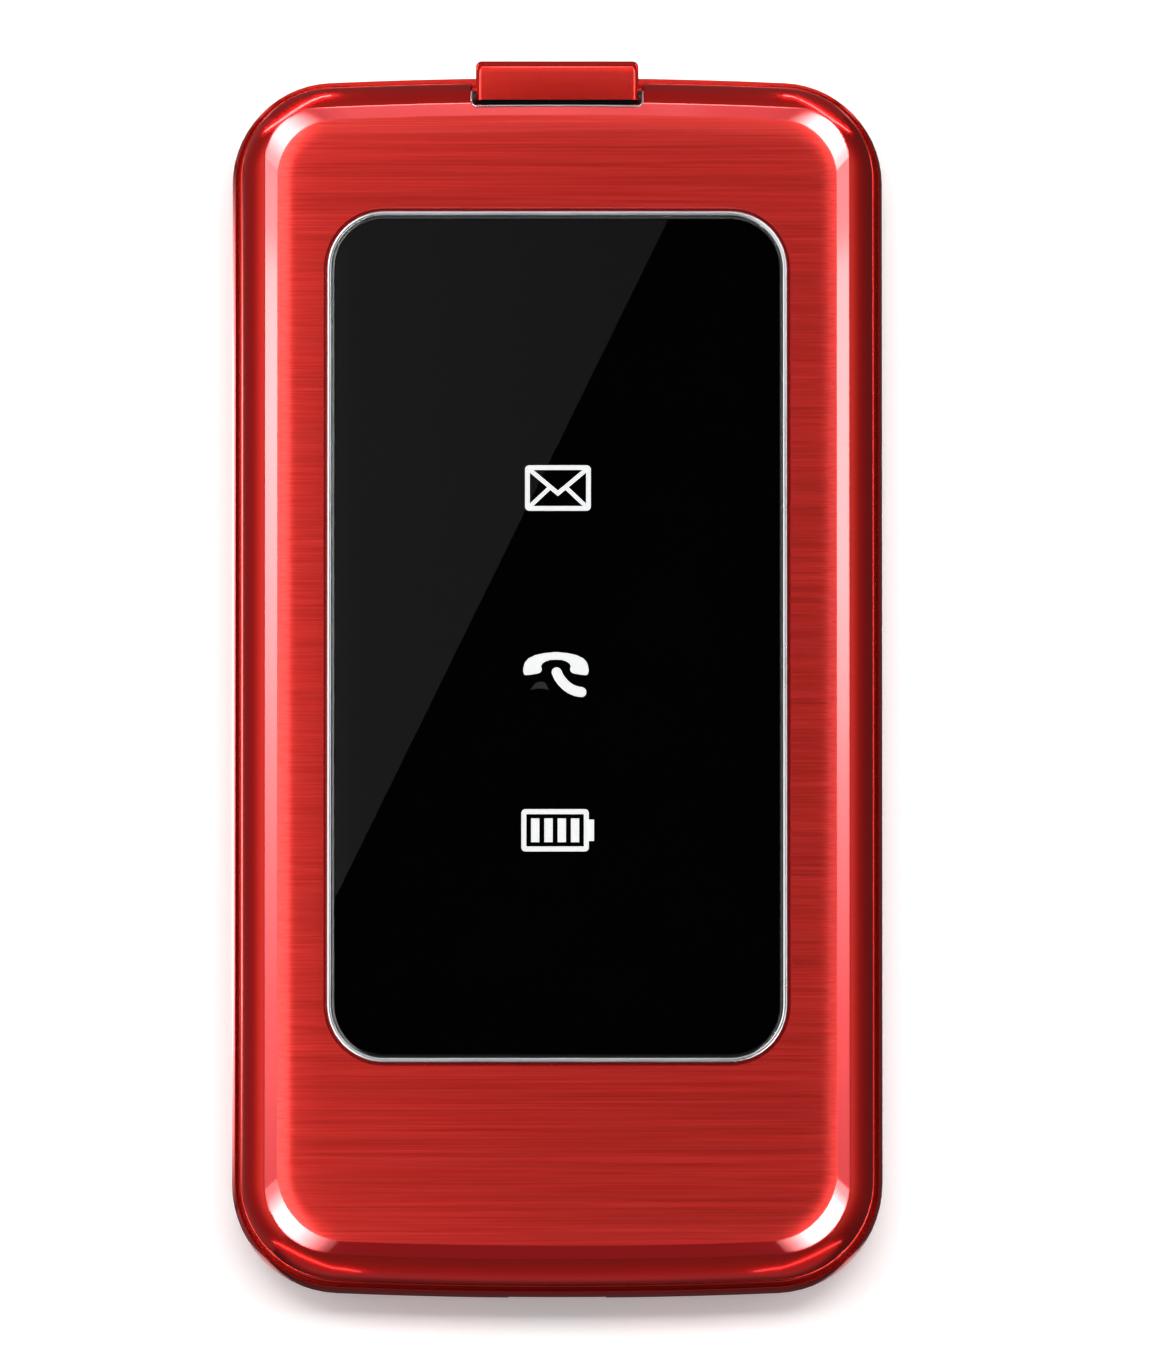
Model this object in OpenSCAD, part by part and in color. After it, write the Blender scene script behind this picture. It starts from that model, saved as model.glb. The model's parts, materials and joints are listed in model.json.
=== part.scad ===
// Clamshell mobile phone, lying closed on its back: X across, +Y towards the hinge end, +Z up through
// the lid.
// The origin is at the middle of the footprint, on the surface that the phone lies on.

/* [Casing] */
// Width of the casing
body_w = 55; // [54:0.1:56]
// Length of the casing without the hinge knuckle
body_l = 103.05; // [102:0.05:105]
// Corner radius of the outline at the hinge end
hinge_corner_r = 9.07; // [8.8:0.01:9.4]
// Corner radius of the outline at the bottom end
bottom_corner_r = 9.9; // [9.6:0.1:10.2]
// Radius of the slow curve across each end
end_curve_r = 440; // [380:10:600]
// Radius of the round edge along the back
back_edge_r = 4; // [3.6:0.1:4.2]
// Wall thickness of the base, at its middle height
base_wall = 2.2; // [2:0.1:2.4]
// Height of the join between rear case and front frame
case_join_z = 6.2; // [6.2:0.1:6.4]
// Height of the rim round the keypad
base_top_z = 10.8; // [10.7:0.05:10.8]

/* [Lid] */
// Gap between the closed halves
closed_gap = 0.3; // [0.25:0.05:0.4]
// How far the lid stands inside the base's outline
lid_inset = 0.72; // [0.6:0.02:0.8]
// Height of the cover's top, where the front plate starts
cover_top_z = 18.1; // [18.1:0.1:18.3]
// Inset of the front plate's outer edge
bevel_inset = 2.83; // [2.7:0.01:3]
// Width of the bright bevel round the front plate
bevel_w = 1.14; // [0.9:0.02:1.3]
// Thickness of the front plate
plate_t = 0.5; // [0.4:0.05:0.6]

/* [Front window] */
// Width over the window's metal rim
window_w = 38.76; // [38:0.02:39.2]
// Length over the window's metal rim
window_l = 71.76; // [71:0.02:72.2]
// Corner radius of the rim
window_r = 4.85; // [4.5:0.05:5.2]
// Middle of the window along the lid
window_y = 3.25; // [2.9:0.05:3.6]
// Width of the rim
rim_w = 0.4; // [0.3:0.05:0.5]

/* [Hinge] */
// Width of the knuckle between the lid's ears
knuckle_w = 13.7; // [13.2:0.1:14]
// How far the knuckle stands out of the end of the casing
knuckle_proud = 0.9; // [0.8:0.05:0.95]
// Distance from the casing's end to the hinge axis
hinge_inset = 2.32; // [2.3:0.01:2.35]
// Height of the hinge axis
hinge_z = 13.6; // [13.55:0.05:13.65]
// Radius of the hinge shaft and of the cable bush
shaft_r = 0.97; // [0.9:0.01:0.98]
// Clearance of the turning parts, on the radius
running_gap = 0.05; // [0.04:0.01:0.08]

/* [Keypad] */
// Width of a digit key
key_w = 14.9; // [14.4:0.1:15.1]
// Length of a digit key
key_l = 13.2; // [12.8:0.1:13.6]
// Spacing of the digit keys across
key_pitch_x = 15.9; // [15.8:0.1:16]
// Spacing of the digit keys along
key_pitch_y = 14.8; // [14.6:0.1:14.9]
// Gap between a key and its hole
key_gap = 0.25; // [0.2:0.01:0.3]
// Outer radius of the four-way ring
nav_r = 9.2; // [9:0.1:9.4]
// Radius of the middle key
ok_r = 4.4; // [4:0.1:4.6]

/* [Hidden] */
$fn = 72;
NODES = ["rear_case", "front_frame", "battery_cover", "battery", "battery_contacts", "main_board",
    "sim_socket", "dome_sheet", "keypad_mat", "usb_port", "headset_jack", "camera_module",
    "camera_window", "loudspeaker", "microphone", "vibration_motor", "volume_rocker", "strap_pin",
    "base_screws", "hinge_barrel", "hinge_spring", "hinge_follower", "hinge_cam", "hinge_shaft",
    "hinge_bush", "display_cable_base_run", "display_cable_lid_run", "lid_cover", "front_plate",
    "window_rim", "window_glass", "icon_film", "icon_light_guide", "lid_frame", "display_lens",
    "display_panel", "lid_board", "earpiece", "earpiece_grille", "lid_bumpers", "lid_screws",
    "lid_magnet", "soft_key_left", "soft_key_right", "call_key", "end_key", "nav_ring", "ok_key",
    "key_1", "key_2", "key_3", "key_4", "key_5", "key_6", "key_7", "key_8", "key_9", "key_star",
    "key_0", "key_hash"];

red = [0.66, 0.12, 0.1];
black = [0.06, 0.06, 0.07];
steel = [0.72, 0.72, 0.72];
green = [0.1, 0.35, 0.2];

half_w = body_w / 2;
low_y = -(body_l + knuckle_proud) / 2;
high_y = low_y + body_l;
axis_y = high_y - hinge_inset;
// A section drawn inwards from the outline reaches past the middle of the phone.
deep = 60;
arc_steps = 6;
// Taller than the phone, for cuts that go right through.
tall = 40;

// Centres of the outline's corners, where each corner meets a side and the slow curve of its end
// without a step.
function corner_y(end_y, side, r) =
    end_y - side * end_curve_r + side * sqrt(pow(end_curve_r - r, 2) - pow(half_w - r, 2));
function corner_turn(r) = asin((half_w - r) / (end_curve_r - r));
hinge_corner_y = corner_y(high_y, 1, hinge_corner_r);
bottom_corner_y = corner_y(low_y, -1, bottom_corner_r);
hinge_turn = corner_turn(hinge_corner_r);
bottom_turn = corner_turn(bottom_corner_r);

// The base's side is upright up to shoulder_z and then leans in to the lid's inset at the rim.
shoulder_z = 6.8;
shoulder_r = (pow(base_top_z - shoulder_z, 2) + lid_inset * lid_inset) / (2 * lid_inset);
// The lid's side is upright up to lid_side_z and then leans in to the bevel.
lid_face_z = base_top_z + closed_gap;
lid_join_z = 12.1;
lid_side_z = 12.5;
lid_lean = bevel_inset - lid_inset;
lid_side_r = (pow(cover_top_z - lid_side_z, 2) + lid_lean * lid_lean) / (2 * lid_lean);
lid_lip = 0.23;
lid_lip_z = 0.5;
plate_top_z = cover_top_z + plate_t;
cover_ceiling_z = 17.1;
lid_wall = 3.3;
lid_cavity_end_y = 43.5;

glass_seat_z = 17.5;
film_t = 0.1;
window_gap = 0.17;
glass_top_z = plate_top_z + 0.02;
rim_top_z = plate_top_z + 0.1;
glass_r = window_r - rim_w;
envelope_y = 15.85;
handset_y = 0.15;
battery_icon_y = -13.05;
icon_stroke = 0.42;

knuckle_r = 4.36;
notch_r = 4.56;
notch_w = knuckle_w + 0.6;
knuckle_top = 3.5;
knuckle_edge_r = 1;
knuckle_end = hinge_inset + knuckle_proud;
ear_sweep_r = 3.15;
ear_depth = 3.75;
barrel_r = 2.3;
barrel_wall = 0.5;
barrel_x = [-6.7, 2.2];
bush_x = 4.2;
cable_r = 0.45;
// Where the cable's base run meets its plug on the main board.
cable_plug_y = 44.4;

deck_z = 10.2;
deck_t = 0.8;
board_z = 6.9;
board_t = 0.8;
mat_z = 8;
mat_t = 0.9;
key_floor_z = mat_z + mat_t;
key_top_z = 10.75;
key_flange_t = 0.4;
// The ring's flange is thinner, because one side of the ring rises as the other goes down.
nav_flange_t = 0.2;
key_lip = 0.4;
key_corner_r = 1.6;
key_dome_r = 90;
keypad_x = 24;
keypad_y = [-43, 40];
nav_y = 30;
soft_y = 35.5;
call_y = 24.6;
side_key_x = 17.6;
side_key_w = 12.4;
soft_l = 7.5;
call_l = 8.5;
digits_y = 11.5;

cover_t = 1.3;
cover_w = 44;
cover_end_y = 28;
cover_gap = 0.15;
tongue_w = 0.9;
inner_back_z = 2.2;
bay_w = 34.6;
bay_y = [-29.3, 24.3];
bay_wall = 1;
screw_spots = [[19.5, 44.6], [-19.5, 44.6], [20, -45.2], [-20, -45.2]];
boss_r = 1.9;
screw_r = 0.8;
lid_screw_spots = [[22, 40.5], [-22, 40.5], [21, -42], [-21, -42]];
jack_y = 36;
jack_z = 4.2;
jack_bore_r = 1.3;
jack_collar_r = 1.8;
camera_y = 37.5;
speaker_at = [13.5, 37.5];
rocker_y = 36.4;
rocker_l = 11.4;
rocker_z = [3.1, 5.7];
strap_y = -37.7;
usb_z = 4.3;
mic_y = -45.2;
earpiece_y = -42;

// --- shapes that repeat -----------------------------------------------------------------------

// A rectangle with round corners, centred.
module rounded(w, l, r) {
    square([w - 2 * r, l], center = true);
    square([w, l - 2 * r], center = true);
    for (x = [-1, 1], y = [-1, 1]) translate([x * (w / 2 - r), y * (l / 2 - r)]) circle(r);
}

// A rounded block between two heights, centred on a place in plan.
module slab(place, w, l, r, z_low, z_high) {
    translate([place[0], place[1], z_low]) linear_extrude(z_high - z_low) rounded(w, l, r);
}

// A block between two heights and two lengths, centred across on x.
module block(x, w, y_low, y_high, z_low, z_high) {
    translate([x - w / 2, y_low, z_low]) cube([w, y_high - y_low, z_high - z_low]);
}

// A straight rounded space inside the outline, inset from it all round.
module inner_space(inset, y_end, z_low, z_high) {
    l = y_end - low_y - inset;
    slab([0, y_end - l / 2], body_w - 2 * inset, l, 6, z_low, z_high);
}

module corner(x, y, r, from, turn) {
    translate([x, y, 0]) rotate_extrude(angle = turn, start = from) intersection() {
        translate([r, 0]) children();
        translate([0, -1]) square([r + 1, tall]);
    }
}

module slow_end(centre_y, from, turn) {
    translate([0, centre_y, 0]) rotate_extrude(angle = turn, start = from, $fn = 2400) intersection() {
        translate([end_curve_r, 0]) children();
        translate([end_curve_r - half_w, -1]) square([half_w + 1, tall]);
    }
}

// Sweeps a section round the casing's outline and fills it. The section's x is the distance out from
// the outline, so the inside is negative, and its y is the height.
module swept() {
    translate([0, hinge_corner_y, 0]) rotate([90, 0, 0]) linear_extrude(hinge_corner_y - bottom_corner_y)
        intersection() {
            translate([half_w, 0]) children();
            mirror([1, 0]) translate([half_w, 0]) children();
        }
    for (side = [0, 1]) mirror([side, 0, 0]) {
        corner(half_w - hinge_corner_r, hinge_corner_y, hinge_corner_r, 0, 90 - hinge_turn) children();
        corner(half_w - bottom_corner_r, bottom_corner_y, bottom_corner_r, bottom_turn - 90, 90 - bottom_turn)
            children();
    }
    slow_end(high_y - end_curve_r, 90 - hinge_turn, 2 * hinge_turn) children();
    slow_end(low_y + end_curve_r, -90 - bottom_turn, 2 * bottom_turn) children();
}

// Points along an arc of a section, from one angle to another.
function arc(x, z, r, from, to) = [for (i = [0 : arc_steps]) let (a = from + (to - from) * i / arc_steps)
    [x + r * cos(a), z + r * sin(a)]];

// The base's section below the join: a round back edge.
module back_section(z_high) {
    intersection() {
        polygon(concat([[-deep, 0]], arc(-back_edge_r, back_edge_r, back_edge_r, -90, 0),
            [[0, tall], [-deep, tall]]));
        translate([-deep, 0]) square([deep + 1, z_high]);
    }
}

// The base's section above the join: it leans in above the shoulder.
module rim_section() {
    lean = asin((base_top_z - shoulder_z) / shoulder_r);
    polygon(concat([[-deep, case_join_z], [0, case_join_z]], arc(-shoulder_r, shoulder_z, shoulder_r, 0, lean),
        [[-deep, base_top_z]]));
}

module cover_section() {
    lean = asin((cover_top_z - lid_side_z) / lid_side_r);
    polygon(concat([[-deep, lid_join_z], [-lid_inset, lid_join_z]],
        arc(-lid_inset - lid_side_r, lid_side_z, lid_side_r, 0, lean), [[-deep, cover_top_z]]));
}

module lip_section() {
    polygon([[-deep, lid_face_z], [-lid_inset - lid_lip, lid_face_z], [-lid_inset, lid_face_z + lid_lip_z],
        [-lid_inset, lid_join_z], [-deep, lid_join_z]]);
}

module plate_section() {
    polygon([[-deep, cover_top_z], [-bevel_inset, cover_top_z], [-bevel_inset - bevel_w, plate_top_z],
        [-deep, plate_top_z]]);
}

// A round bar along the hinge axis.
module axis_bar(x_low, x_high, r) {
    translate([x_low, axis_y, hinge_z]) rotate([0, 90, 0]) cylinder(r = r, h = x_high - x_low);
}

// A slice across the phone, drawn as a side view with y along and z up, measured from the hinge axis.
module axis_slice(w) {
    translate([-w / 2, axis_y, hinge_z]) rotate([90, 0, 90]) linear_extrude(w) children();
}

module screw(spot, head_z, head_t, head_r, tip_z) {
    translate([spot[0], spot[1], head_z]) difference() {
        union() {
            cylinder(r = head_r, h = head_t);
            translate([0, 0, head_t]) cylinder(r = screw_r, h = tip_z - head_z - head_t);
        }
        for (a = [0, 90]) rotate(a) translate([-head_r * 0.6, -0.2, -1]) cube([head_r * 1.2, 0.4, 1.35]);
    }
}

// A wire wound along the hinge axis: rings of wire_sides points, ring_steps rings a turn.
wire_sides = 6;
ring_steps = 14;
function coil_ring(i, pitch, coil_r, wire_r) = [for (k = [0 : wire_sides - 1])
    let (around = i * 360 / ring_steps, b = k * 360 / wire_sides, r = coil_r + wire_r * cos(b))
    [i * pitch / ring_steps + wire_r * sin(b), r * cos(around), r * sin(around)]];
function coil_side(i, k) = let (a = i * wire_sides + k, b = i * wire_sides + (k + 1) % wire_sides)
    [[a, b, b + wire_sides], [a, b + wire_sides, a + wire_sides]];

module coil(turns, pitch, coil_r, wire_r) {
    rings = turns * ring_steps;
    last = rings * wire_sides;
    polyhedron(
        points = [for (i = [0 : rings]) each coil_ring(i, pitch, coil_r, wire_r)],
        faces = concat(
            [for (k = [1 : wire_sides - 2]) [0, k + 1, k]],
            [for (i = [0 : rings - 1], k = [0 : wire_sides - 1]) each coil_side(i, k)],
            [for (k = [1 : wire_sides - 2]) [last, last + k, last + k + 1]]),
        convexity = 8);
}

// --- base --------------------------------------------------------------------------------------

module rear_case() {
    bay_l = bay_y[1] - bay_y[0];
    bay_mid = [0, (bay_y[0] + bay_y[1]) / 2];
    color(red) difference() {
        union() {
            difference() {
                swept() back_section(case_join_z);
                inner_space(base_wall, high_y - base_wall, inner_back_z, tall);
            }
            slab(bay_mid, bay_w + 2 * bay_wall, bay_l + 2 * bay_wall, 1.5, inner_back_z - 0.2, board_z);
            for (spot = screw_spots) translate([spot[0], spot[1], 1]) cylinder(r = boss_r, h = case_join_z - 1);
            block(-24.6, 1.6, strap_y - 3.5, strap_y + 3.5, 1.8, case_join_z);
        }
        block(0, cover_w + 2 * cover_gap, low_y - 1, cover_end_y + cover_gap, -1, cover_t + 0.1);
        block(0, cover_w + 2 * (cover_gap + tongue_w), low_y - 1, cover_end_y + cover_gap, 0.8, cover_t + 0.1);
        slab(bay_mid, bay_w, bay_l, 0.8, 0, case_join_z);
        for (x = [-4, 0, 4]) block(x, 1.5, bay_y[1] - 1, bay_y[1] + 2, 2.5, 5.2);
        for (spot = screw_spots) translate([spot[0], spot[1], -1]) {
            cylinder(r = screw_r + 0.1, h = 9);
            cylinder(r = 1.7, h = 3.6);
        }
        // Side and end openings: headset socket, volume rocker, charging socket, strap.
        translate([-half_w - 1, jack_y, jack_z]) rotate([0, 90, 0]) cylinder(r = jack_collar_r + 0.05, h = 4);
        block(half_w - 1, 4, rocker_y - rocker_l / 2 - key_gap, rocker_y + rocker_l / 2 + key_gap,
            rocker_z[0] - 0.2, rocker_z[1] + 0.2);
        block(0, 8.3, low_y - 1, low_y + 3, usb_z - 1.55, usb_z + 1.55);
        block(-half_w, 5, strap_y - 2.3, strap_y + 2.3, 2.4, 5.4);
        translate([-26.3, strap_y, 1.9]) cylinder(r = 0.45, h = 4);
        // Back openings: camera, loudspeaker slots, card tray under the battery cover.
        translate([0, camera_y, -1]) {
            cylinder(r = 3.25, h = 1.9);
            cylinder(r = 2.7, h = 3.5);
        }
        for (i = [-2 : 2]) slab([speaker_at[0], speaker_at[1] + i * 1.6], 7, 0.8, 0.39, -1, inner_back_z + 0.1);
        slab([10.5, -38.5], 14, 11, 1, 1, inner_back_z + 0.1);
    }
}

module knuckle_side_view() {
    top = knuckle_top;
    end = knuckle_end;
    e = knuckle_edge_r;
    intersection() {
        circle(knuckle_r);
        union() {
            translate([-6, -6]) square([6 + end, 6 + top - e]);
            translate([-6, -6]) square([6 + end - e, 6 + top]);
            translate([end - e, top - e]) circle(e);
        }
    }
}

module key_hole(place, w, l) {
    slab(place, w + 2 * key_gap, l + 2 * key_gap, key_corner_r + key_gap, deck_z - deck_t - 1, tall);
}

module front_frame() {
    color(red) difference() {
        union() {
            difference() {
                swept() rim_section();
                inner_space(base_wall, high_y - base_wall, 0, deck_z - deck_t);
                slab([0, (keypad_y[0] + keypad_y[1]) / 2], 2 * keypad_x, keypad_y[1] - keypad_y[0], 5,
                    deck_z, tall);
                // Room for the lid's ears and its end as the lid turns.
                axis_bar(-half_w - 1, half_w + 1, ear_sweep_r);
                axis_slice(body_w + 2) polygon([[0.15, base_top_z - hinge_z], [4.5, base_top_z - hinge_z - 2.61],
                    [4.5, 0], [0.15, 0]]);
            }
            axis_slice(knuckle_w) knuckle_side_view();
            for (spot = screw_spots) translate([spot[0], spot[1], case_join_z])
                cylinder(r = boss_r, h = deck_z - deck_t + 0.2 - case_join_z);
        }
        axis_bar(-knuckle_w, barrel_x[1], barrel_r);
        axis_bar(bush_x - 0.1, knuckle_w, shaft_r + running_gap);
        block(3.4, 1.6, axis_y - 0.75, axis_y + 0.75, 8, 14.6);
        for (spot = screw_spots) translate([spot[0], spot[1], 0]) cylinder(r = screw_r, h = 9);
        translate([0, mic_y, 9]) cylinder(r = 0.5, h = 3);
        for (side = [-1, 1]) {
            key_hole([side * side_key_x, soft_y], side_key_w, soft_l);
            key_hole([side * side_key_x, call_y], side_key_w, call_l);
        }
        for (row = [0 : 3], col = [-1 : 1])
            key_hole([col * key_pitch_x, digits_y - row * key_pitch_y], key_w, key_l);
        translate([0, nav_y, 9]) cylinder(r = nav_r + key_gap, h = 3);
    }
}

module battery_cover() {
    difference() {
        color(red) union() {
            intersection() {
                swept() back_section(cover_t);
                block(0, cover_w, low_y - 1, cover_end_y, -1, tall);
            }
            block(0, cover_w + 2 * tongue_w, bottom_corner_y + 3, cover_end_y, 0.9, cover_t);
        }
        // Finger grooves for the thumb that pushes the cover off.
        for (i = [0 : 4]) block(0, 14 - abs(i - 2) * 2, 14 + i * 1.8, 14.9 + i * 1.8, -1, 0.35);
    }
}

module battery() {
    color([0.2, 0.22, 0.25]) difference() {
        slab([0, -2.5], 34, 53, 2, 1.5, case_join_z);
        for (x = [-4, 0, 4]) block(x, 2, 23.7, 25, 2.8, 4.9);
    }
    color([0.85, 0.7, 0.3]) for (x = [-4, 0, 4]) block(x, 1.6, 23.5, 23.8, 3, 4.7);
}

module battery_contacts() {
    color([0.85, 0.7, 0.3]) for (x = [-4, 0, 4]) {
        block(x, 1.2, 23.8, 25.7, 3.2, 4.4);
        block(x, 1.2, 25.4, 26, 3.2, board_z);
    }
}

module main_board() {
    color(green) difference() {
        slab([0, -0.9], 48.4, 93.4, 5, board_z, board_z + board_t);
        for (spot = screw_spots) translate([spot[0], spot[1], 0]) cylinder(r = boss_r + 0.2, h = tall);
    }
    color([0.9, 0.88, 0.8])
        block(3.4, 4, cable_plug_y - 2.4, cable_plug_y, board_z + board_t, board_z + board_t + 1.2);
    color(steel) slab([-12, 30], 12, 4, 0.5, 5.4, board_z);
}

module sim_socket() {
    color(steel) difference() {
        slab([10.5, -38.5], 15, 12.6, 0.8, inner_back_z, inner_back_z + 1.5);
        block(10.5, 12.2, -60, -33.4, inner_back_z + 0.3, inner_back_z + 1.1);
        block(10.5, 8, -43, -35, 0, inner_back_z + 0.5);
    }
}

// Middle of every key's dome, in plan.
key_spots = concat(
    [for (side = [-1, 1], y = [soft_y, call_y]) [side * side_key_x, y]],
    [for (row = [0 : 3], col = [-1 : 1]) [col * key_pitch_x, digits_y - row * key_pitch_y]],
    [[0, nav_y], [0, nav_y + 6.9], [0, nav_y - 6.9], [6.9, nav_y], [-6.9, nav_y]]);

module dome_sheet() {
    color([0.85, 0.85, 0.8]) union() {
        slab([0, -1.5], 48, 82, 3, board_z + board_t, board_z + board_t + 0.1);
        for (spot = key_spots) translate([spot[0], spot[1], board_z + board_t]) cylinder(r = 2, h = 0.3);
    }
}

module keypad_mat() {
    color([0.75, 0.75, 0.78]) slab([0, -1.5], 48.6, 83, 4, mat_z, mat_z + mat_t);
}

module usb_port() {
    color(steel) difference() {
        slab([0, low_y + 3.4], 7.8, 5.4, 0.5, usb_z - 1.4, usb_z + 1.4);
        block(0, 6.9, low_y - 1, low_y + 5.3, usb_z - 0.95, usb_z + 0.95);
    }
    color(steel) for (x = [-3.3, 3.3]) block(x, 0.8, low_y + 4.4, low_y + 6, usb_z + 1.2, board_z);
    color(black) block(0, 4, low_y + 1.2, low_y + 5.6, usb_z + 0.05, usb_z + 0.6);
}

module headset_jack() {
    color(black) difference() {
        union() {
            block(-19.6, 10.8, jack_y - 2.2, jack_y + 2.2, inner_back_z, board_z);
            translate([-27.1, jack_y, jack_z]) rotate([0, 90, 0]) cylinder(r = jack_collar_r, h = 3);
        }
        translate([-28, jack_y, jack_z]) rotate([0, 90, 0]) cylinder(r = jack_bore_r, h = 12.8);
    }
}

module camera_module() {
    color(black) {
        slab([0, camera_y], 8.5, 8.5, 0.6, inner_back_z, board_z - 0.1);
        translate([0, camera_y, 0.9]) cylinder(r = 2.6, h = 1.5);
    }
}

module camera_window() {
    color([0.15, 0.16, 0.2]) translate([0, camera_y, 0.25]) cylinder(r = 3.2, h = 0.65);
}

module loudspeaker() {
    color(steel) slab(speaker_at, 12, 9, 1.5, inner_back_z, 5.2);
}

module microphone() {
    color(steel) translate([0, mic_y, board_z + board_t]) cylinder(r = 2, h = 1.5);
}

module vibration_motor() {
    color(steel) translate([-12, -40, inner_back_z]) cylinder(r = 5, h = 3.2);
}

module volume_rocker() {
    mid_z = (rocker_z[0] + rocker_z[1]) / 2;
    color(red) intersection() {
        translate([0, rocker_y, 0]) union() {
            // The crown swells outwards in the middle, past the shallow ends that the fingertip finds.
            translate([half_w - 1.6, -3.3, rocker_z[0]]) cube([1.65, 6.6, rocker_z[1] - rocker_z[0]]);
            translate([half_w - 1.6, -rocker_l / 2, rocker_z[0]])
                cube([1.05, rocker_l, rocker_z[1] - rocker_z[0]]);
            translate([24.4, -2, mid_z - 0.7]) cube([2, 4, 1.4]);
        }
        translate([half_w - 60, rocker_y, -1]) cylinder(r = 60, h = tall, $fn = 720);
    }
}

module strap_pin() {
    color(steel) translate([-26.3, strap_y, 1.9]) cylinder(r = 0.45, h = 4);
}

module base_screws() {
    color(steel) for (spot = screw_spots) screw(spot, 1.6, 1, 1.6, 8.9);
}

// --- hinge -------------------------------------------------------------------------------------

module hinge_barrel() {
    color(steel) difference() {
        axis_bar(barrel_x[0], barrel_x[1], barrel_r);
        axis_bar(barrel_x[0] + 1, barrel_x[1] - 0.4, barrel_r - barrel_wall);
        axis_bar(barrel_x[0] - 1, barrel_x[1] - 1, shaft_r + running_gap);
    }
}

module hinge_spring() {
    color([0.6, 0.6, 0.62]) translate([-1.35, axis_y, hinge_z]) coil(5, 0.58, 1.42, 0.22);
}

module hinge_follower() {
    color([0.8, 0.75, 0.6]) difference() {
        axis_bar(-3, -1.65, barrel_r - barrel_wall);
        axis_bar(-4, 0, shaft_r + running_gap);
    }
}

module hinge_cam() {
    color([0.65, 0.6, 0.5]) difference() {
        axis_bar(-5.5, -3.1, barrel_r - barrel_wall - running_gap);
        axis_bar(-6, 0, shaft_r);
    }
}

module hinge_shaft() {
    color(steel) axis_bar(-notch_w / 2 - ear_depth + 0.1, 1.1, shaft_r);
}

module hinge_bush() {
    color(steel) difference() {
        axis_bar(bush_x + 0.1, notch_w / 2 + ear_depth - 0.1, shaft_r);
        axis_bar(0, 20, 0.6);
    }
}

// A quarter bend of the display cable, turned into place by its caller.
module cable_bend(r) {
    rotate_extrude(angle = 90) translate([r, 0]) circle(cable_r, $fn = 24);
}

module display_cable_base_run() {
    bend = 0.8;
    x = bush_x - bend;
    low_z = board_z + board_t + 0.5;
    color(black) union() {
        translate([bush_x, axis_y, hinge_z - bend]) rotate([90, 0, 0]) mirror([1, 0, 0]) cable_bend(bend);
        translate([x, axis_y, low_z + bend]) cylinder(r = cable_r, h = hinge_z - low_z - 2 * bend, $fn = 24);
        translate([x, axis_y - bend, low_z + bend]) rotate([0, 90, 0]) cable_bend(bend);
        translate([x, cable_plug_y, low_z]) rotate([-90, 0, 0])
            cylinder(r = cable_r, h = axis_y - bend - cable_plug_y, $fn = 24);
    }
}

module display_cable_lid_run() {
    bend = 1.2;
    end_x = 11.4;
    color(black) union() {
        axis_bar(bush_x, end_x, cable_r, $fn = 24);
        translate([end_x, axis_y - bend, hinge_z]) cable_bend(bend);
        translate([end_x + bend, 41.5, hinge_z]) rotate([-90, 0, 0])
            cylinder(r = cable_r, h = axis_y - bend - 41.5, $fn = 24);
    }
}

// --- lid ---------------------------------------------------------------------------------------

module knuckle_notch() {
    axis_bar(-notch_w / 2, notch_w / 2, notch_r);
}

module lid_cover() {
    color(red) difference() {
        union() {
            difference() {
                swept() cover_section();
                inner_space(lid_wall, lid_cavity_end_y, 0, cover_ceiling_z);
            }
            for (spot = lid_screw_spots) translate([spot[0], spot[1], lid_join_z])
                cylinder(r = boss_r, h = cover_top_z - lid_join_z - 0.5);
        }
        knuckle_notch();
        axis_bar(-notch_w / 2 - ear_depth, notch_w / 2 + ear_depth, shaft_r);
        block(12.25, 2.7, 42, axis_y + 0.8, 0, 14.6);
        slab([0, window_y], window_w, window_l, window_r, glass_seat_z, tall);
        slab([0, 1.4], 14, 42, 1, 16, tall);
        for (spot = lid_screw_spots) translate([spot[0], spot[1], 0]) cylinder(r = screw_r, h = 16);
    }
}

module front_plate() {
    w = window_w + 2 * window_gap;
    l = window_l + 2 * window_gap;
    color([0.75, 0.13, 0.11]) difference() {
        swept() plate_section();
        slab([0, window_y], w, l, window_r + window_gap, 0, tall);
        block(0, notch_w, axis_y - 0.7, high_y, 0, tall);
    }
}

module window_rim() {
    color([0.8, 0.8, 0.8]) difference() {
        slab([0, window_y], window_w, window_l, window_r, glass_seat_z, rim_top_z);
        slab([0, window_y], window_w - 2 * rim_w, window_l - 2 * rim_w, glass_r, 0, tall);
    }
}

module window_glass() {
    color(black) slab([0, window_y], window_w - 2 * rim_w, window_l - 2 * rim_w, glass_r,
        glass_seat_z + 2 * film_t, glass_top_z);
}

module frame_icon(w, l) {
    difference() {
        square([w, l], center = true);
        square([w - 2 * icon_stroke, l - 2 * icon_stroke], center = true);
    }
}

module envelope_icon() {
    s = icon_stroke;
    frame_icon(5.58, 3.9);
    polygon([[-2.6, 1.7], [0, -0.3], [2.6, 1.7], [2.6, 1.7 - s], [0, -0.3 - s], [-2.6, 1.7 - s]]);
    for (side = [0, 1]) mirror([side, 0]) polygon([[-2.6, -1.7], [-0.9, 0.1], [-0.6, -0.1], [-2.3, -1.9]]);
}

module handset_icon() {
    translate([0, -1.6]) intersection() {
        difference() {
            circle(2.75);
            circle(1.5);
        }
        translate([-3, 0.4]) square([6, 3]);
    }
    translate([0, -2.2]) square([2.6, 1.1], center = true);
}

module battery_icon() {
    frame_icon(5.75, 3.6);
    translate([3.1, 0]) square([0.5, 1.85], center = true);
    for (i = [0 : 3]) translate([-1.65 + i * 1.1, 0]) square([0.7, 2.05], center = true);
}

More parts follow.
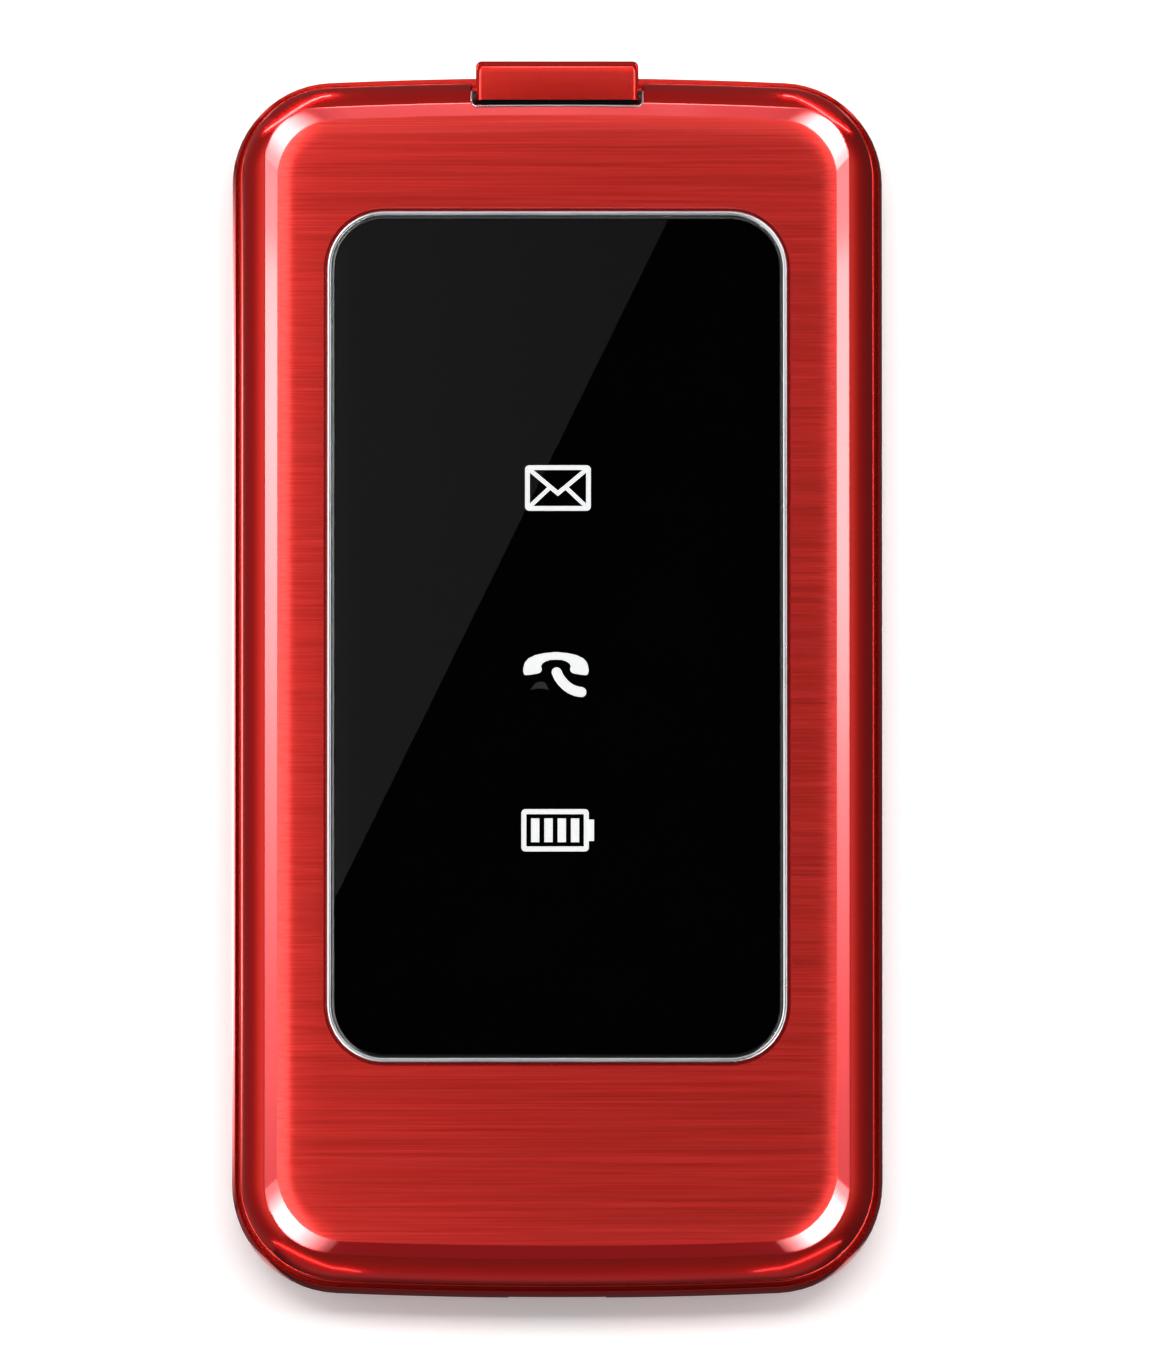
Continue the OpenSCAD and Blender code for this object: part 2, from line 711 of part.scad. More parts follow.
module icon_film() {
    color(black) slab([0, window_y], window_w - 2 * rim_w, window_l - 2 * rim_w, glass_r, glass_seat_z,
        glass_seat_z + film_t);
    color([0.85, 0.85, 0.85]) translate([0, 0, glass_seat_z + film_t]) linear_extrude(film_t) {
        translate([0, envelope_y]) envelope_icon();
        translate([0, handset_y]) handset_icon();
        translate([0, battery_icon_y]) battery_icon();
    }
}

module icon_light_guide() {
    color([0.9, 0.9, 0.95]) union() {
        slab([0, 1.4], 13, 40, 1, 16, 16.8);
        for (y = [-17, 19.8]) block(0, 12, y - 0.5, y + 0.5, 15.4, 16.2);
        for (y = [envelope_y, handset_y, battery_icon_y]) slab([0, y], 7.5, 6, 0.8, 16.4, 17.4);
    }
}

module lid_frame() {
    color([0.35, 0.05, 0.05]) difference() {
        swept() lip_section();
        axis_bar(-notch_w / 2, notch_w / 2, notch_r);
        slab([0, 3], 46.2, 66.2, 3, 0, 11.9);
        slab([0, 3], 38, 51, 0.5, 0, tall);
        slab([0, earpiece_y], 12.2, 2.2, 1.05, 0, 11.8);
        slab([0, earpiece_y], 11, 1.4, 0.65, 0, tall);
        for (spot = lid_screw_spots) translate([spot[0], spot[1], 0]) {
            cylinder(r = 1.7, h = 11.7);
            cylinder(r = screw_r + 0.1, h = tall);
        }
        for (x = [-1, 1]) translate([x * 18.5, low_y + 3.1, 0]) cylinder(r = 1.3, h = 11.5);
    }
}

module display_lens() {
    color(black) slab([0, 3], 46, 66, 3, 11.15, 11.9);
}

module display_panel() {
    color(steel) slab([0, 3], 42.7, 59.9, 0.8, lid_join_z, 14.6);
}

module lid_board() {
    color(green) slab([0, 5], 38, 62, 1, 14.6, 15.4);
    color([0.95, 0.95, 0.85]) for (y = [envelope_y, handset_y, battery_icon_y])
        slab([0, y], 1.6, 0.9, 0.2, 15.4, 15.8);
    color([0.9, 0.88, 0.8]) block(12.6, 4, 34.5, 41.5, 13, 14.6);
}

module earpiece() {
    color(steel) slab([0, earpiece_y], 13, 6, 1.5, lid_join_z, 14.4);
}

module earpiece_grille() {
    color(steel) difference() {
        slab([0, earpiece_y], 12, 2, 0.95, 11.3, 11.8);
        for (i = [-4 : 4]) translate([i * 1.2, earpiece_y, 0]) cylinder(r = 0.35, h = tall);
    }
}

module lid_bumpers() {
    color([0.15, 0.15, 0.15]) for (x = [-1, 1])
        translate([x * 18.5, low_y + 3.1, 10.86]) cylinder(r = 1.28, h = 0.64);
}

module lid_screws() {
    color(steel) for (spot = lid_screw_spots) screw(spot, 11.15, 0.55, 1.6, 15.5);
}

module lid_magnet() {
    color(steel) translate([-13, -42, lid_join_z]) cylinder(r = 2.5, h = 1.2);
}

// --- keys --------------------------------------------------------------------------------------

// The crown of every key is rolled about an axis along the phone, as high as key_top_z on its middle line.
module key_roll(x) {
    translate([x, 0, key_top_z - key_dome_r]) rotate([90, 0, 0])
        cylinder(r = key_dome_r, h = 200, center = true, $fn = 720);
}

module key(x, y, w, l) {
    color([0.8, 0.8, 0.8]) union() {
        slab([x, y], w + 2 * key_lip, l + 2 * key_lip, key_corner_r, key_floor_z, key_floor_z + key_flange_t);
        intersection() {
            slab([x, y], w, l, key_corner_r, key_floor_z, tall);
            key_roll(x);
        }
    }
}

module side_key(side, y, l) {
    key(side * side_key_x, y, side_key_w, l);
}

module nav_ring() {
    color([0.8, 0.8, 0.8]) difference() {
        translate([0, nav_y, key_floor_z]) union() {
            cylinder(r = nav_r + key_lip, h = nav_flange_t);
            cylinder(r = nav_r, h = key_top_z - key_floor_z - 0.35);
            cylinder(r = nav_r - 0.6, h = key_top_z - key_floor_z);
        }
        translate([0, nav_y, 0]) cylinder(r = ok_r + key_gap, h = tall);
        translate([0, nav_y, 0]) cylinder(r = ok_r + key_lip + 0.2, h = key_floor_z + key_flange_t + 0.2);
    }
}

module ok_key() {
    color([0.8, 0.8, 0.8]) translate([0, nav_y, key_floor_z]) union() {
        cylinder(r = ok_r + key_lip, h = key_flange_t);
        cylinder(r = ok_r, h = key_top_z - key_floor_z - 0.3);
        cylinder(r = ok_r - 0.4, h = key_top_z - key_floor_z);
    }
}

digit_nodes = [for (i = [48 : 59]) NODES[i]];

rear_case();
front_frame();
battery_cover();
battery();
battery_contacts();
main_board();
sim_socket();
dome_sheet();
keypad_mat();
usb_port();
headset_jack();
camera_module();
camera_window();
loudspeaker();
microphone();
vibration_motor();
volume_rocker();
strap_pin();
base_screws();
hinge_barrel();
hinge_spring();
hinge_follower();
hinge_cam();
hinge_shaft();
hinge_bush();
display_cable_base_run();
display_cable_lid_run();
lid_cover();
front_plate();
window_rim();
window_glass();
icon_film();
icon_light_guide();
lid_frame();
display_lens();
display_panel();
lid_board();
earpiece();
earpiece_grille();
lid_bumpers();
lid_screws();
lid_magnet();
side_key(-1, soft_y, soft_l);  // soft_key_left
side_key(1, soft_y, soft_l);  // soft_key_right
side_key(-1, call_y, call_l);  // call_key
side_key(1, call_y, call_l);  // end_key
nav_ring();
ok_key();
for (i = [0 : 11])
    key((i % 3 - 1) * key_pitch_x, digits_y - floor(i / 3) * key_pitch_y, key_w, key_l);
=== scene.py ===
import json
import math

import bmesh
import bpy
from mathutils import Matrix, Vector


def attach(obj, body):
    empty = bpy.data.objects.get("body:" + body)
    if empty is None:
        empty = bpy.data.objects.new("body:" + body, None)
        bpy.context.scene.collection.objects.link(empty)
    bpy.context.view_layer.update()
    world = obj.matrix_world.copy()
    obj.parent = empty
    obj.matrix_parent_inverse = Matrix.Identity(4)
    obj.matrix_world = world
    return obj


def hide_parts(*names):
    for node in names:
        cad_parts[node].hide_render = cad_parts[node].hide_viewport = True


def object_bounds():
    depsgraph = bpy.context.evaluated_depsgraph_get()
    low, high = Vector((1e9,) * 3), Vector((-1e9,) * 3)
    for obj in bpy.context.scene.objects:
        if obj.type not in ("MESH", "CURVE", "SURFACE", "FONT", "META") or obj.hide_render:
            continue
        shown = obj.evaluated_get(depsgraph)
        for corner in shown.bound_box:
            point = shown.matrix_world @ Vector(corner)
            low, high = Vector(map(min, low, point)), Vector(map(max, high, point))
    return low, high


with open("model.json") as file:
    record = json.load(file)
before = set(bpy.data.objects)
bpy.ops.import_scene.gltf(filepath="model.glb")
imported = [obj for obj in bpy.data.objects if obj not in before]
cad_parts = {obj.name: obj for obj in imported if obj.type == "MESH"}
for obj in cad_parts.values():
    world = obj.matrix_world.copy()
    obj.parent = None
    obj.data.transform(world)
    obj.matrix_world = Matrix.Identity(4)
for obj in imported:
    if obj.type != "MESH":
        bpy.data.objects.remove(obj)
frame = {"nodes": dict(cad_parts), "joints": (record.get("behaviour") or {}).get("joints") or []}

bl_info = {
    "name": "Clamshell phone",
    "version": (1, 0, 0),
    "blender": (4, 5, 0),
    "location": "3D View > Sidebar > Phone",
    "description": "Dresses the packed clamshell phone with fine meshes and procedural finishes",
    "category": "Object",
}

# Lengths in this file are in millimetres. Meshes are drawn so too, and scaled to metres when they are done.
MM = 0.001
CAD_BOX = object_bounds()
HINGE = next(j for j in frame["joints"] if j["name"] == "lid_hinge")
AXIS_Y = HINGE["pos_m"][1] / MM
AXIS_Z = HINGE["pos_m"][2] / MM


# --- settings -------------------------------------------------------------------------------------


# The photo's height in pixels, and the size of one of its pixels on the casing's outline.
PHOTO_ROWS = 1352
MM_PER_PIXEL = 0.08462


def length(name, description, millimetres):
    return bpy.props.FloatProperty(
        name=name, description=description, default=millimetres * MM, unit="LENGTH", precision=5
    )


def light_level(name, description):
    return bpy.props.FloatProperty(name=name, description=description, default=1.0, min=0.0)


def colour(name, description, rgb):
    return bpy.props.FloatVectorProperty(
        name=name, description=description, default=rgb, subtype="COLOR", size=3, min=0.0, max=1.0
    )


class PhoneSizes(bpy.types.PropertyGroup):
    """Sizes that shape the casing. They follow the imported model."""

    width: length("Width", "Width of the casing", 55.0)
    body_length: length("Length", "Length of the casing without the hinge knuckle", 103.2)
    hinge_corner: length("Hinge corner", "Outline radius at the hinge end", 8.6)
    bottom_corner: length("Bottom corner", "Outline radius at the bottom end", 9.2)
    end_curve: length("End curve", "Radius of the slow curve across each end", 440.0)
    back_edge: length("Back edge", "Radius of the round edge along the back", 4.0)
    lid_inset: length("Lid inset", "How far the lid stands inside the base", 0.72)
    bevel_inset: length("Bevel inset", "Inset of the front plate's outer edge", 2.83)
    bevel_width: length("Bevel width", "Width of the bright bevel", 1.14)
    window_width: length("Window width", "Width over the window's rim", 38.76)
    window_length: length("Window length", "Length over the window's rim", 71.76)
    window_corner: length("Window corner", "Corner radius of the window's rim", 4.85)
    window_middle: length("Window middle", "Middle of the window along the lid", 3.25)
    rim_width: length("Rim width", "Width of the window's rim", 0.4)


class PhoneColours(bpy.types.PropertyGroup):
    """Colours of the phone's finishes."""

    paint: colour("Paint", "Clear-coated red paint of the casings", (0.56, 0.020, 0.015))
    paint_flake: colour("Paint flake", "Lighter flake in the red paint", (0.66, 0.030, 0.022))
    plate: colour("Front plate", "Brushed red metal of the front plate", (0.42, 0.016, 0.011))
    plate_line: colour("Brushed line", "Lighter brushed lines of the front plate", (0.54, 0.032, 0.027))
    rim: colour("Rim", "Satin metal round the window", (0.39, 0.39, 0.4))
    glass: colour("Glass", "Black-backed glass", (0.0022, 0.0026, 0.003))
    icon: colour("Icons", "Print of the window's icons", (0.90, 0.90, 0.90))
    key: colour("Keys", "Satin silver of the keys", (0.36, 0.36, 0.37))
    key_print: colour("Key print", "Digits and marks on the keys", (0.02, 0.02, 0.022))


class StageSettings(bpy.types.PropertyGroup):
    """The floor, the lights and the camera."""

    tilt: bpy.props.FloatProperty(
        name="Camera tilt", description="How far the view leans from straight down",
        default=math.radians(3.2), subtype="ANGLE",
    )
    distance: length("Camera distance", "Distance from the camera to the phone", 2000.0)
    frame_height: length("Frame height", "Height that the picture shows", PHOTO_ROWS * MM_PER_PIXEL)
    aim: bpy.props.FloatVectorProperty(
        name="Aim", description="Point in the middle of the picture",
        default=(0.00159, 0.00057, 0.0068), size=3, subtype="TRANSLATION",
    )
    left_light: light_level("Left light", "Strength of what the left side reflects")
    right_light: light_level("Right light", "Strength of what the right side reflects")


def sizes():
    return bpy.context.scene.phone_sizes


def colours():
    return bpy.context.scene.phone_colours


# --- outlines -------------------------------------------------------------------------------------

# Steps along a side, round a corner, across the bottom end, and from a corner to the notch.
SIDE_STEPS = 10
CORNER_STEPS = 14
END_STEPS = 12
FLANK_STEPS = 6
# The lid's notch for the hinge knuckle: half its width, its floor's radius about the axis, its round corners,
# and half the knuckle's width.
NOTCH_HALF = 7.15
NOTCH_RADIUS = 4.56
NOTCH_ROUND = 0.3
KNUCKLE_HALF = 6.85
# Where the notch's edge lies in the front plate.
PLATE_NOTCH_Y = AXIS_Y - 0.7
# Corner radii at the hinge end and at the bottom end, of the bevel's outer edge and of its inner edge.
BEVEL_CORNERS = ((4.5, 5.9), (4.8, 5.9))


def arc(x, y, radius, start, end, steps):
    """Points along an arc without its last one."""
    for i in range(steps):
        a = math.radians(start + (end - start) * i / steps)
        yield x + radius * math.cos(a), y + radius * math.sin(a)


def line(x0, y0, x1, y1, steps):
    """Points along a line without its last one."""
    for i in range(steps):
        t = i / steps
        yield x0 + (x1 - x0) * t, y0 + (y1 - y0) * t


def notch_stops():
    """Places across the hinge end, right to left: (x, whether on the notch's floor, how far off it)."""
    half, r = NOTCH_HALF, NOTCH_ROUND
    right = [(half + r, False, 0.0), (half + 0.3 * r, False, -0.3 * r), (half, False, -r)]
    right += [(half, True, r), (half - 0.3 * r, True, 0.3 * r), (half - r, True, 0.0)]
    middle = [(x, True, 0.0) for x in (4.0, 0.0, -4.0)]
    return right + middle + [(-x, deep, beyond) for x, deep, beyond in reversed(right)]


class Outline:
    """The casing's outline, inset by any amount, with the same number of points each time."""

    def __init__(self):
        s = sizes()
        self.half = s.width / MM / 2
        self.low = CAD_BOX[0].y / MM
        self.high = self.low + s.body_length / MM
        self.sweep = s.end_curve / MM
        self.r_low, self.r_high = s.bottom_corner / MM, s.hinge_corner / MM

    def corner(self, r, end_y, side):
        """The middle of a corner's arc, and how far the end's slow curve turns up to it, in degrees."""
        across = self.half - r
        reach = math.sqrt((self.sweep - r) ** 2 - across**2)
        turn = math.degrees(math.asin(across / (self.sweep - r)))
        return across, end_y - side * self.sweep + side * reach, turn

    def end_y(self, x, inset):
        """Where the hinge end lies at x."""
        return self.high - self.sweep + math.sqrt((self.sweep - inset) ** 2 - x * x)

    def lid_radii(self, inset):
        """The lid's corner radii at an inset, measured out to the casing: (hinge end, bottom end)."""
        s = sizes()
        low, outer = s.lid_inset / MM, s.bevel_inset / MM
        inner = outer + s.bevel_width / MM
        casing = (self.r_high, self.r_low)
        edges = [[r + i for r in pair] for pair, i in zip(BEVEL_CORNERS, (outer, inner))]
        if inset < outer:
            start, end, share = casing, edges[0], max(inset - low, 0.0) / (outer - low)
        else:
            start, end, share = edges[0], edges[1], min((inset - outer) / (inner - outer), 1.0)
        return [a + (b - a) * share for a, b in zip(start, end)]

    def ring(self, inset, z, notch_y=None, lid=False):
        """One loop of points. notch_y is where the notch's floor lies, and lid takes the lid's corners."""
        r_high, r_low = self.lid_radii(inset) if lid else (self.r_high, self.r_low)
        xh, yh, th = self.corner(r_high, self.high, 1)
        xl, yl, tl = self.corner(r_low, self.low, -1)
        rh, rl, side = r_high - inset, r_low - inset, self.half - inset
        points = list(line(side, yl, side, yh, SIDE_STEPS))
        points += arc(xh, yh, rh, 0, 90 - th, CORNER_STEPS)
        edge_x = (self.sweep - inset) * math.sin(math.radians(th))
        stops = notch_stops()
        first = stops[0][0]
        points += [(x, self.end_y(x, inset)) for x, _ in line(edge_x, 0, first, 0, FLANK_STEPS)]
        for x, deep, beyond in stops:
            y = self.end_y(x, inset)
            if notch_y is not None:
                floor = min(y, notch_y + beyond)
                y = floor if deep else max(y + beyond, floor)
            points.append((x, y))
        points += [(x, self.end_y(x, inset)) for x, _ in line(-first, 0, -edge_x, 0, FLANK_STEPS)][1:]
        points += arc(-xh, yh, rh, 90 + th, 180, CORNER_STEPS)
        points += line(-side, yh, -side, yl, SIDE_STEPS)
        points += arc(-xl, yl, rl, 180, 270 - tl, CORNER_STEPS)
        points += arc(0, self.low + self.sweep, self.sweep - inset, 270 - tl, 270 + tl, END_STEPS)
        points += arc(xl, yl, rl, 270 + tl, 360, CORNER_STEPS)
        return [Vector((x, y, z)) for x, y in points]


# How many points an outline has across the hinge end.
HINGE_POINTS = 2 * FLANK_STEPS - 1 + len(notch_stops())


def rounded_ring(centre, width, depth, radius, z):
    """A rectangle with round corners, point for point like an Outline ring."""
    cx, cy = centre
    hx, hy = width / 2, depth / 2
    ix, iy = hx - radius, hy - radius
    points = list(line(hx, -iy, hx, iy, SIDE_STEPS))
    points += arc(ix, iy, radius, 0, 90, CORNER_STEPS)
    points += line(ix, hy, -ix, hy, HINGE_POINTS)
    points += arc(-ix, iy, radius, 90, 180, CORNER_STEPS)
    points += line(-hx, iy, -hx, -iy, SIDE_STEPS)
    points += arc(-ix, -iy, radius, 180, 270, CORNER_STEPS)
    points += line(-ix, -hy, ix, -hy, END_STEPS)
    points += arc(ix, -iy, radius, 270, 360, CORNER_STEPS)
    return [Vector((cx + x, cy + y, z)) for x, y in points]


def disc_ring(centre, radius, z, steps=64):
    """A circle as a loop of points."""
    return [Vector((x, y, z)) for x, y in arc(centre[0], centre[1], radius, 0, 360, steps)]


def notch_floor(z):
    """How far along the phone the lid's notch reaches at a height."""
    return AXIS_Y - math.sqrt(max(NOTCH_RADIUS**2 - (z - AXIS_Z) ** 2, 0.0))


# --- meshes ---------------------------------------------------------------------------------------


def new_object(name, bm, materials, sharp=32.0):
    """A mesh object from a bmesh in millimetres."""
    bmesh.ops.remove_doubles(bm, verts=bm.verts, dist=0.0005)
    bmesh.ops.dissolve_degenerate(bm, edges=bm.edges, dist=0.0002)
    bmesh.ops.recalc_face_normals(bm, faces=bm.faces)
    bmesh.ops.scale(bm, vec=(MM, MM, MM), verts=bm.verts)
    mesh = bpy.data.meshes.new(name)
    bm.to_mesh(mesh)
    bm.free()
    for material in materials:
        mesh.materials.append(material)
    mesh.shade_smooth()
    mesh.set_sharp_from_angle(angle=math.radians(sharp))
    piece = bpy.data.objects.new(name, mesh)
    bpy.context.scene.collection.objects.link(piece)
    return piece


def loft(bm, rings, closed=False, cap_first=False, cap_last=False, slots=None):
    """Joins rings of the same length with faces. slots gives the material slot of each band."""
    rows = [[bm.verts.new(p) for p in ring] for ring in rings]
    count = len(rows)
    bands = count if closed else count - 1
    for i in range(bands):
        lower, upper = rows[i], rows[(i + 1) % count]
        for k in range(len(lower)):
            n = (k + 1) % len(lower)
            face = bm.faces.new((lower[k], lower[n], upper[n], upper[k]))
            face.material_index = slots[i] if slots else 0
    if cap_first:
        bm.faces.new(list(reversed(rows[0])))
    if cap_last:
        face = bm.faces.new(rows[-1])
        face.material_index = slots[-1] if slots else 0
    return rows


def box_in(bm, low, high):
    """Adds a box between two corners."""
    made = bmesh.ops.create_cube(bm, size=1.0)["verts"]
    middle = [(a + b) / 2 for a, b in zip(low, high)]
    size = [b - a for a, b in zip(low, high)]
    bmesh.ops.scale(bm, vec=size, verts=made)
    bmesh.ops.translate(bm, vec=middle, verts=made)


def prism_in(bm, ring, z_low, z_high):
    """Adds an upright prism over a ring."""
    rings = [[Vector((p.x, p.y, z)) for p in ring] for z in (z_low, z_high)]
    loft(bm, rings, cap_first=True, cap_last=True)


def prism(ring, z_low, z_high):
    """A cutter or filler that is an upright prism over a ring."""
    return lambda bm: prism_in(bm, ring, z_low, z_high)


def drum(x, y, radius, z_low, z_high, steps=64):
    """A cutter that is an upright cylinder."""
    return prism(disc_ring((x, y), radius, 0, steps), z_low, z_high)


def bar(x_low, x_high, y, z, radius, steps=96):
    """A cutter that is a round bar along X."""
    return lambda bm: bar_in(bm, x_low, x_high, y, z, radius, steps)


def bar_in(bm, x_low, x_high, y, z, radius, steps):
    """Adds a round bar along X."""
    circle = list(arc(0, 0, radius, 0, 360, steps))
    rings = [[Vector((x, y + a, z + b)) for a, b in circle] for x in (x_low, x_high)]
    loft(bm, rings, cap_first=True, cap_last=True)


def combine(piece, cutters, operation):
    """Cuts or intersects a piece with meshes that are then thrown away."""
    for make in cutters:
        bm = bmesh.new()
        make(bm)
        tool = new_object("tool", bm, [])
        step = piece.modifiers.new(operation.lower(), "BOOLEAN")
        step.operation = operation
        step.solver = "EXACT"
        step.use_self = False
        step.object = tool
        bpy.context.view_layer.update()
        done = bpy.data.meshes.new_from_object(piece.evaluated_get(bpy.context.evaluated_depsgraph_get()))
        old = piece.data
        piece.modifiers.clear()
        piece.data = done
        bpy.data.meshes.remove(old)
        bpy.data.objects.remove(tool)


def shade_cut(piece, sharp):
    """Smooth shading again after a cut."""
    piece.data.shade_smooth()
    piece.data.set_sharp_from_angle(angle=math.radians(sharp))


def dress(piece, body, slot, *nodes):
    """Sets the body that a piece rides on and hides the nodes that it stands for. slot is not used."""
    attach(piece, body)
    if nodes:
        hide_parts(*nodes)


# --- finishes -------------------------------------------------------------------------------------


def add_node(tree, kind, **values):
    """Adds a node. A value whose key starts with in_ goes to an input, counted from in_0."""
    node = tree.nodes.new(kind)
    for key, value in values.items():
        if key.startswith("in_"):
            node.inputs[int(key[3:])].default_value = value
        else:
            setattr(node, key, value)
    return node


# The part of a noise texture's range that most of it lies in.
NOISE_LOW, NOISE_HIGH = 0.35, 0.65


def effect_group(name, inputs, outputs):
    """An empty node group with the named float sockets."""
    group = bpy.data.node_groups.new(name, "ShaderNodeTree")
    for text, value in inputs:
        group.interface.new_socket(text, in_out="INPUT", socket_type="NodeSocketFloat").default_value = value
    for text in outputs:
        group.interface.new_socket(text, in_out="OUTPUT", socket_type="NodeSocketFloat")
    return group, group.nodes.new("NodeGroupInput"), group.nodes.new("NodeGroupOutput")


def grain_effect():
    """Streaks along X, as brushing leaves them. Streaks is the pattern and Tone is a slower drift of it."""
    group, start, end = effect_group("brushed_grain", [("Fineness", 1.0)], ["Streaks", "Tone"])
    place = add_node(group, "ShaderNodeTexCoord")
    for socket, size in (("Streaks", (60.0, 7000.0, 7000.0)), ("Tone", (22.0, 2100.0, 2100.0))):
        stretch = add_node(group, "ShaderNodeMapping", in_3=size)
        noise = add_node(group, "ShaderNodeTexNoise", in_2=1.0, in_3=2.0, in_4=0.55)
        group.links.new(place.outputs["Object"], stretch.inputs[0])
        group.links.new(stretch.outputs[0], noise.inputs["Vector"])
        group.links.new(start.outputs["Fineness"], noise.inputs["Scale"])
        group.links.new(noise.outputs["Fac"], end.inputs[socket])
    return group


def speckle_effect():
    """A fine even speckle, such as paint flake or a moulded texture."""
    group, start, end = effect_group("fine_speckle", [("Scale", 9000.0)], ["Speckle"])
    place = add_node(group, "ShaderNodeTexCoord")
    noise = add_node(group, "ShaderNodeTexNoise", in_3=2.0, in_4=0.6)
    group.links.new(place.outputs["Object"], noise.inputs["Vector"])
    group.links.new(start.outputs["Scale"], noise.inputs["Scale"])
    group.links.new(noise.outputs["Fac"], end.inputs["Speckle"])
    return group


def wear_effect():
    """Slow smudges that change the gloss a little."""
    group, start, end = effect_group("soft_smudge", [("Low", 0.3), ("High", 0.4)], ["Roughness"])
    place = add_node(group, "ShaderNodeTexCoord")
    noise = add_node(group, "ShaderNodeTexNoise", in_2=90.0, in_3=3.0, in_4=0.5)
    spread = add_node(group, "ShaderNodeMapRange", in_1=NOISE_LOW, in_2=NOISE_HIGH)
    group.links.new(place.outputs["Object"], noise.inputs["Vector"])
    group.links.new(noise.outputs["Fac"], spread.inputs[0])
    group.links.new(start.outputs["Low"], spread.inputs[3])
    group.links.new(start.outputs["High"], spread.inputs[4])
    group.links.new(spread.outputs[0], end.inputs["Roughness"])
    return group


EFFECTS = {"grain": grain_effect, "speckle": speckle_effect, "wear": wear_effect}
READY = {}


def effect(tree, kind, **values):
    """A shared effect in a material."""
    if kind not in READY:
        READY[kind] = EFFECTS[kind]()
    node = tree.nodes.new("ShaderNodeGroup")
    node.node_tree = READY[kind]
    for key, value in values.items():
        node.inputs[key].default_value = value
    return node


def finish(name, rgb, metallic, roughness, **extra):
    """One Principled shader with constants. Returns its material, node tree and shader."""
    material = bpy.data.materials.new(name)
    material.use_nodes = True
    material.diffuse_color = (*rgb, 1.0)
    tree = material.node_tree
    shader = tree.nodes["Principled BSDF"]
    shader.inputs["Base Color"].default_value = (*rgb, 1.0)
    shader.inputs["Metallic"].default_value = metallic
    shader.inputs["Roughness"].default_value = roughness
    for key, value in extra.items():
        shader.inputs[key.replace("_", " ")].default_value = value
    return material, tree, shader


def scaled(tree, source, start, stop, low, high):
    """A value that runs from low to high while the source runs from start to stop."""
    node = add_node(tree, "ShaderNodeMapRange", in_1=start, in_2=stop, in_3=low, in_4=high)
    tree.links.new(source, node.inputs[0])
    return node.outputs[0]


def product(tree, first, *others):
    """The values multiplied."""
    for other in others:
        node = add_node(tree, "ShaderNodeMath", operation="MULTIPLY")
        tree.links.new(first, node.inputs[0])
        tree.links.new(other, node.inputs[1])
        first = node.outputs[0]
    return first


def mix_colour(tree, factor, low, high, target):
    """Blends two colours by an effect's output."""
    blend = add_node(tree, "ShaderNodeMix", data_type="RGBA")
    blend.inputs["A"].default_value = (*low, 1.0)
    blend.inputs["B"].default_value = (*high, 1.0)
    tree.links.new(factor, blend.inputs["Factor"])
    tree.links.new(blend.outputs["Result"], target)


def bump(tree, source, shader, depth, strength):
    """Raises a surface by an effect's output, as deep as depth millimetres."""
    relief = add_node(tree, "ShaderNodeBump", in_0=strength, in_1=depth * MM)
    tree.links.new(source, relief.inputs["Height"])
    tree.links.new(relief.outputs[0], shader.inputs["Normal"])


def red_paint():
    """The casings' clear-coated red, with a fine flake."""
    c = colours()
    material, tree, shader = finish("red_paint", c.paint, 0.92, 0.2, Coat_Weight=0.15, Coat_Roughness=0.03,
                                    Specular_Tint=(1.0, 0.1, 0.08, 1.0))
    flake = effect(tree, "speckle", Scale=7000.0)
    mix_colour(tree, flake.outputs[0], c.paint, c.paint_flake, shader.inputs["Base Color"])
    return material


def red_brushed():
    """The front plate's red metal, brushed from side to side."""
    c = colours()
    material, tree, shader = finish("red_brushed", c.plate, 1.0, 0.32, Coat_Weight=0.35, Coat_Roughness=0.15)
    grain = effect(tree, "grain")
    lines = scaled(tree, grain.outputs["Streaks"], 0.3, 0.75, 0.0, 1.0)
    mix_colour(tree, lines, c.plate, c.plate_line, shader.inputs["Base Color"])
    rough = scaled(tree, grain.outputs["Tone"], NOISE_LOW, NOISE_HIGH, 0.30, 0.34)
    tree.links.new(rough, shader.inputs["Roughness"])
    bump(tree, grain.outputs["Streaks"], shader, 0.0015, 0.5)
    return material


def red_polished():
    """The bevel's polished red, under a clear coat."""
    return finish("red_polished", (0.56, 0.013, 0.016), 0.6, 0.16, Coat_Weight=1.0, Coat_Roughness=0.04)[0]


def silver_rim():
    material, tree, shader = finish("silver_rim", colours().rim, 1.0, 0.24)
    smudge = effect(tree, "wear", Low=0.26, High=0.34)
    tree.links.new(smudge.outputs[0], shader.inputs["Roughness"])
    return material


def black_glass():
    material, tree, shader = finish("black_glass", colours().glass, 0.0, 0.02, IOR=1.5)
    smudge = effect(tree, "wear", Low=0.012, High=0.03)
    tree.links.new(smudge.outputs[0], shader.inputs["Roughness"])
    return material


# The display behind the inner lens: its middle and half its size, across and along the lid.
SCREEN = ((0.0, 17.6), (3.5, 22.5))


def screen_glass():
    """Black glass over a display that is off: a screen slightly lighter than its border."""
    material, tree, shader = finish("screen_glass", colours().glass, 0.0, 0.02, IOR=1.5)
    place = tree.nodes.new("ShaderNodeTexCoord")
    parts = tree.nodes.new("ShaderNodeSeparateXYZ")
    tree.links.new(place.outputs["Object"], parts.inputs[0])
    inside = []
    for axis, (middle, half) in enumerate(SCREEN):
        near = add_node(tree, "ShaderNodeMath", operation="COMPARE", in_1=middle * MM, in_2=half * MM)
        tree.links.new(parts.outputs[axis], near.inputs[0])
        inside.append(near.outputs[0])
    screen = (0.02, 0.022, 0.025)
    mix_colour(tree, product(tree, *inside), colours().glass, screen, shader.inputs["Base Color"])
    return material


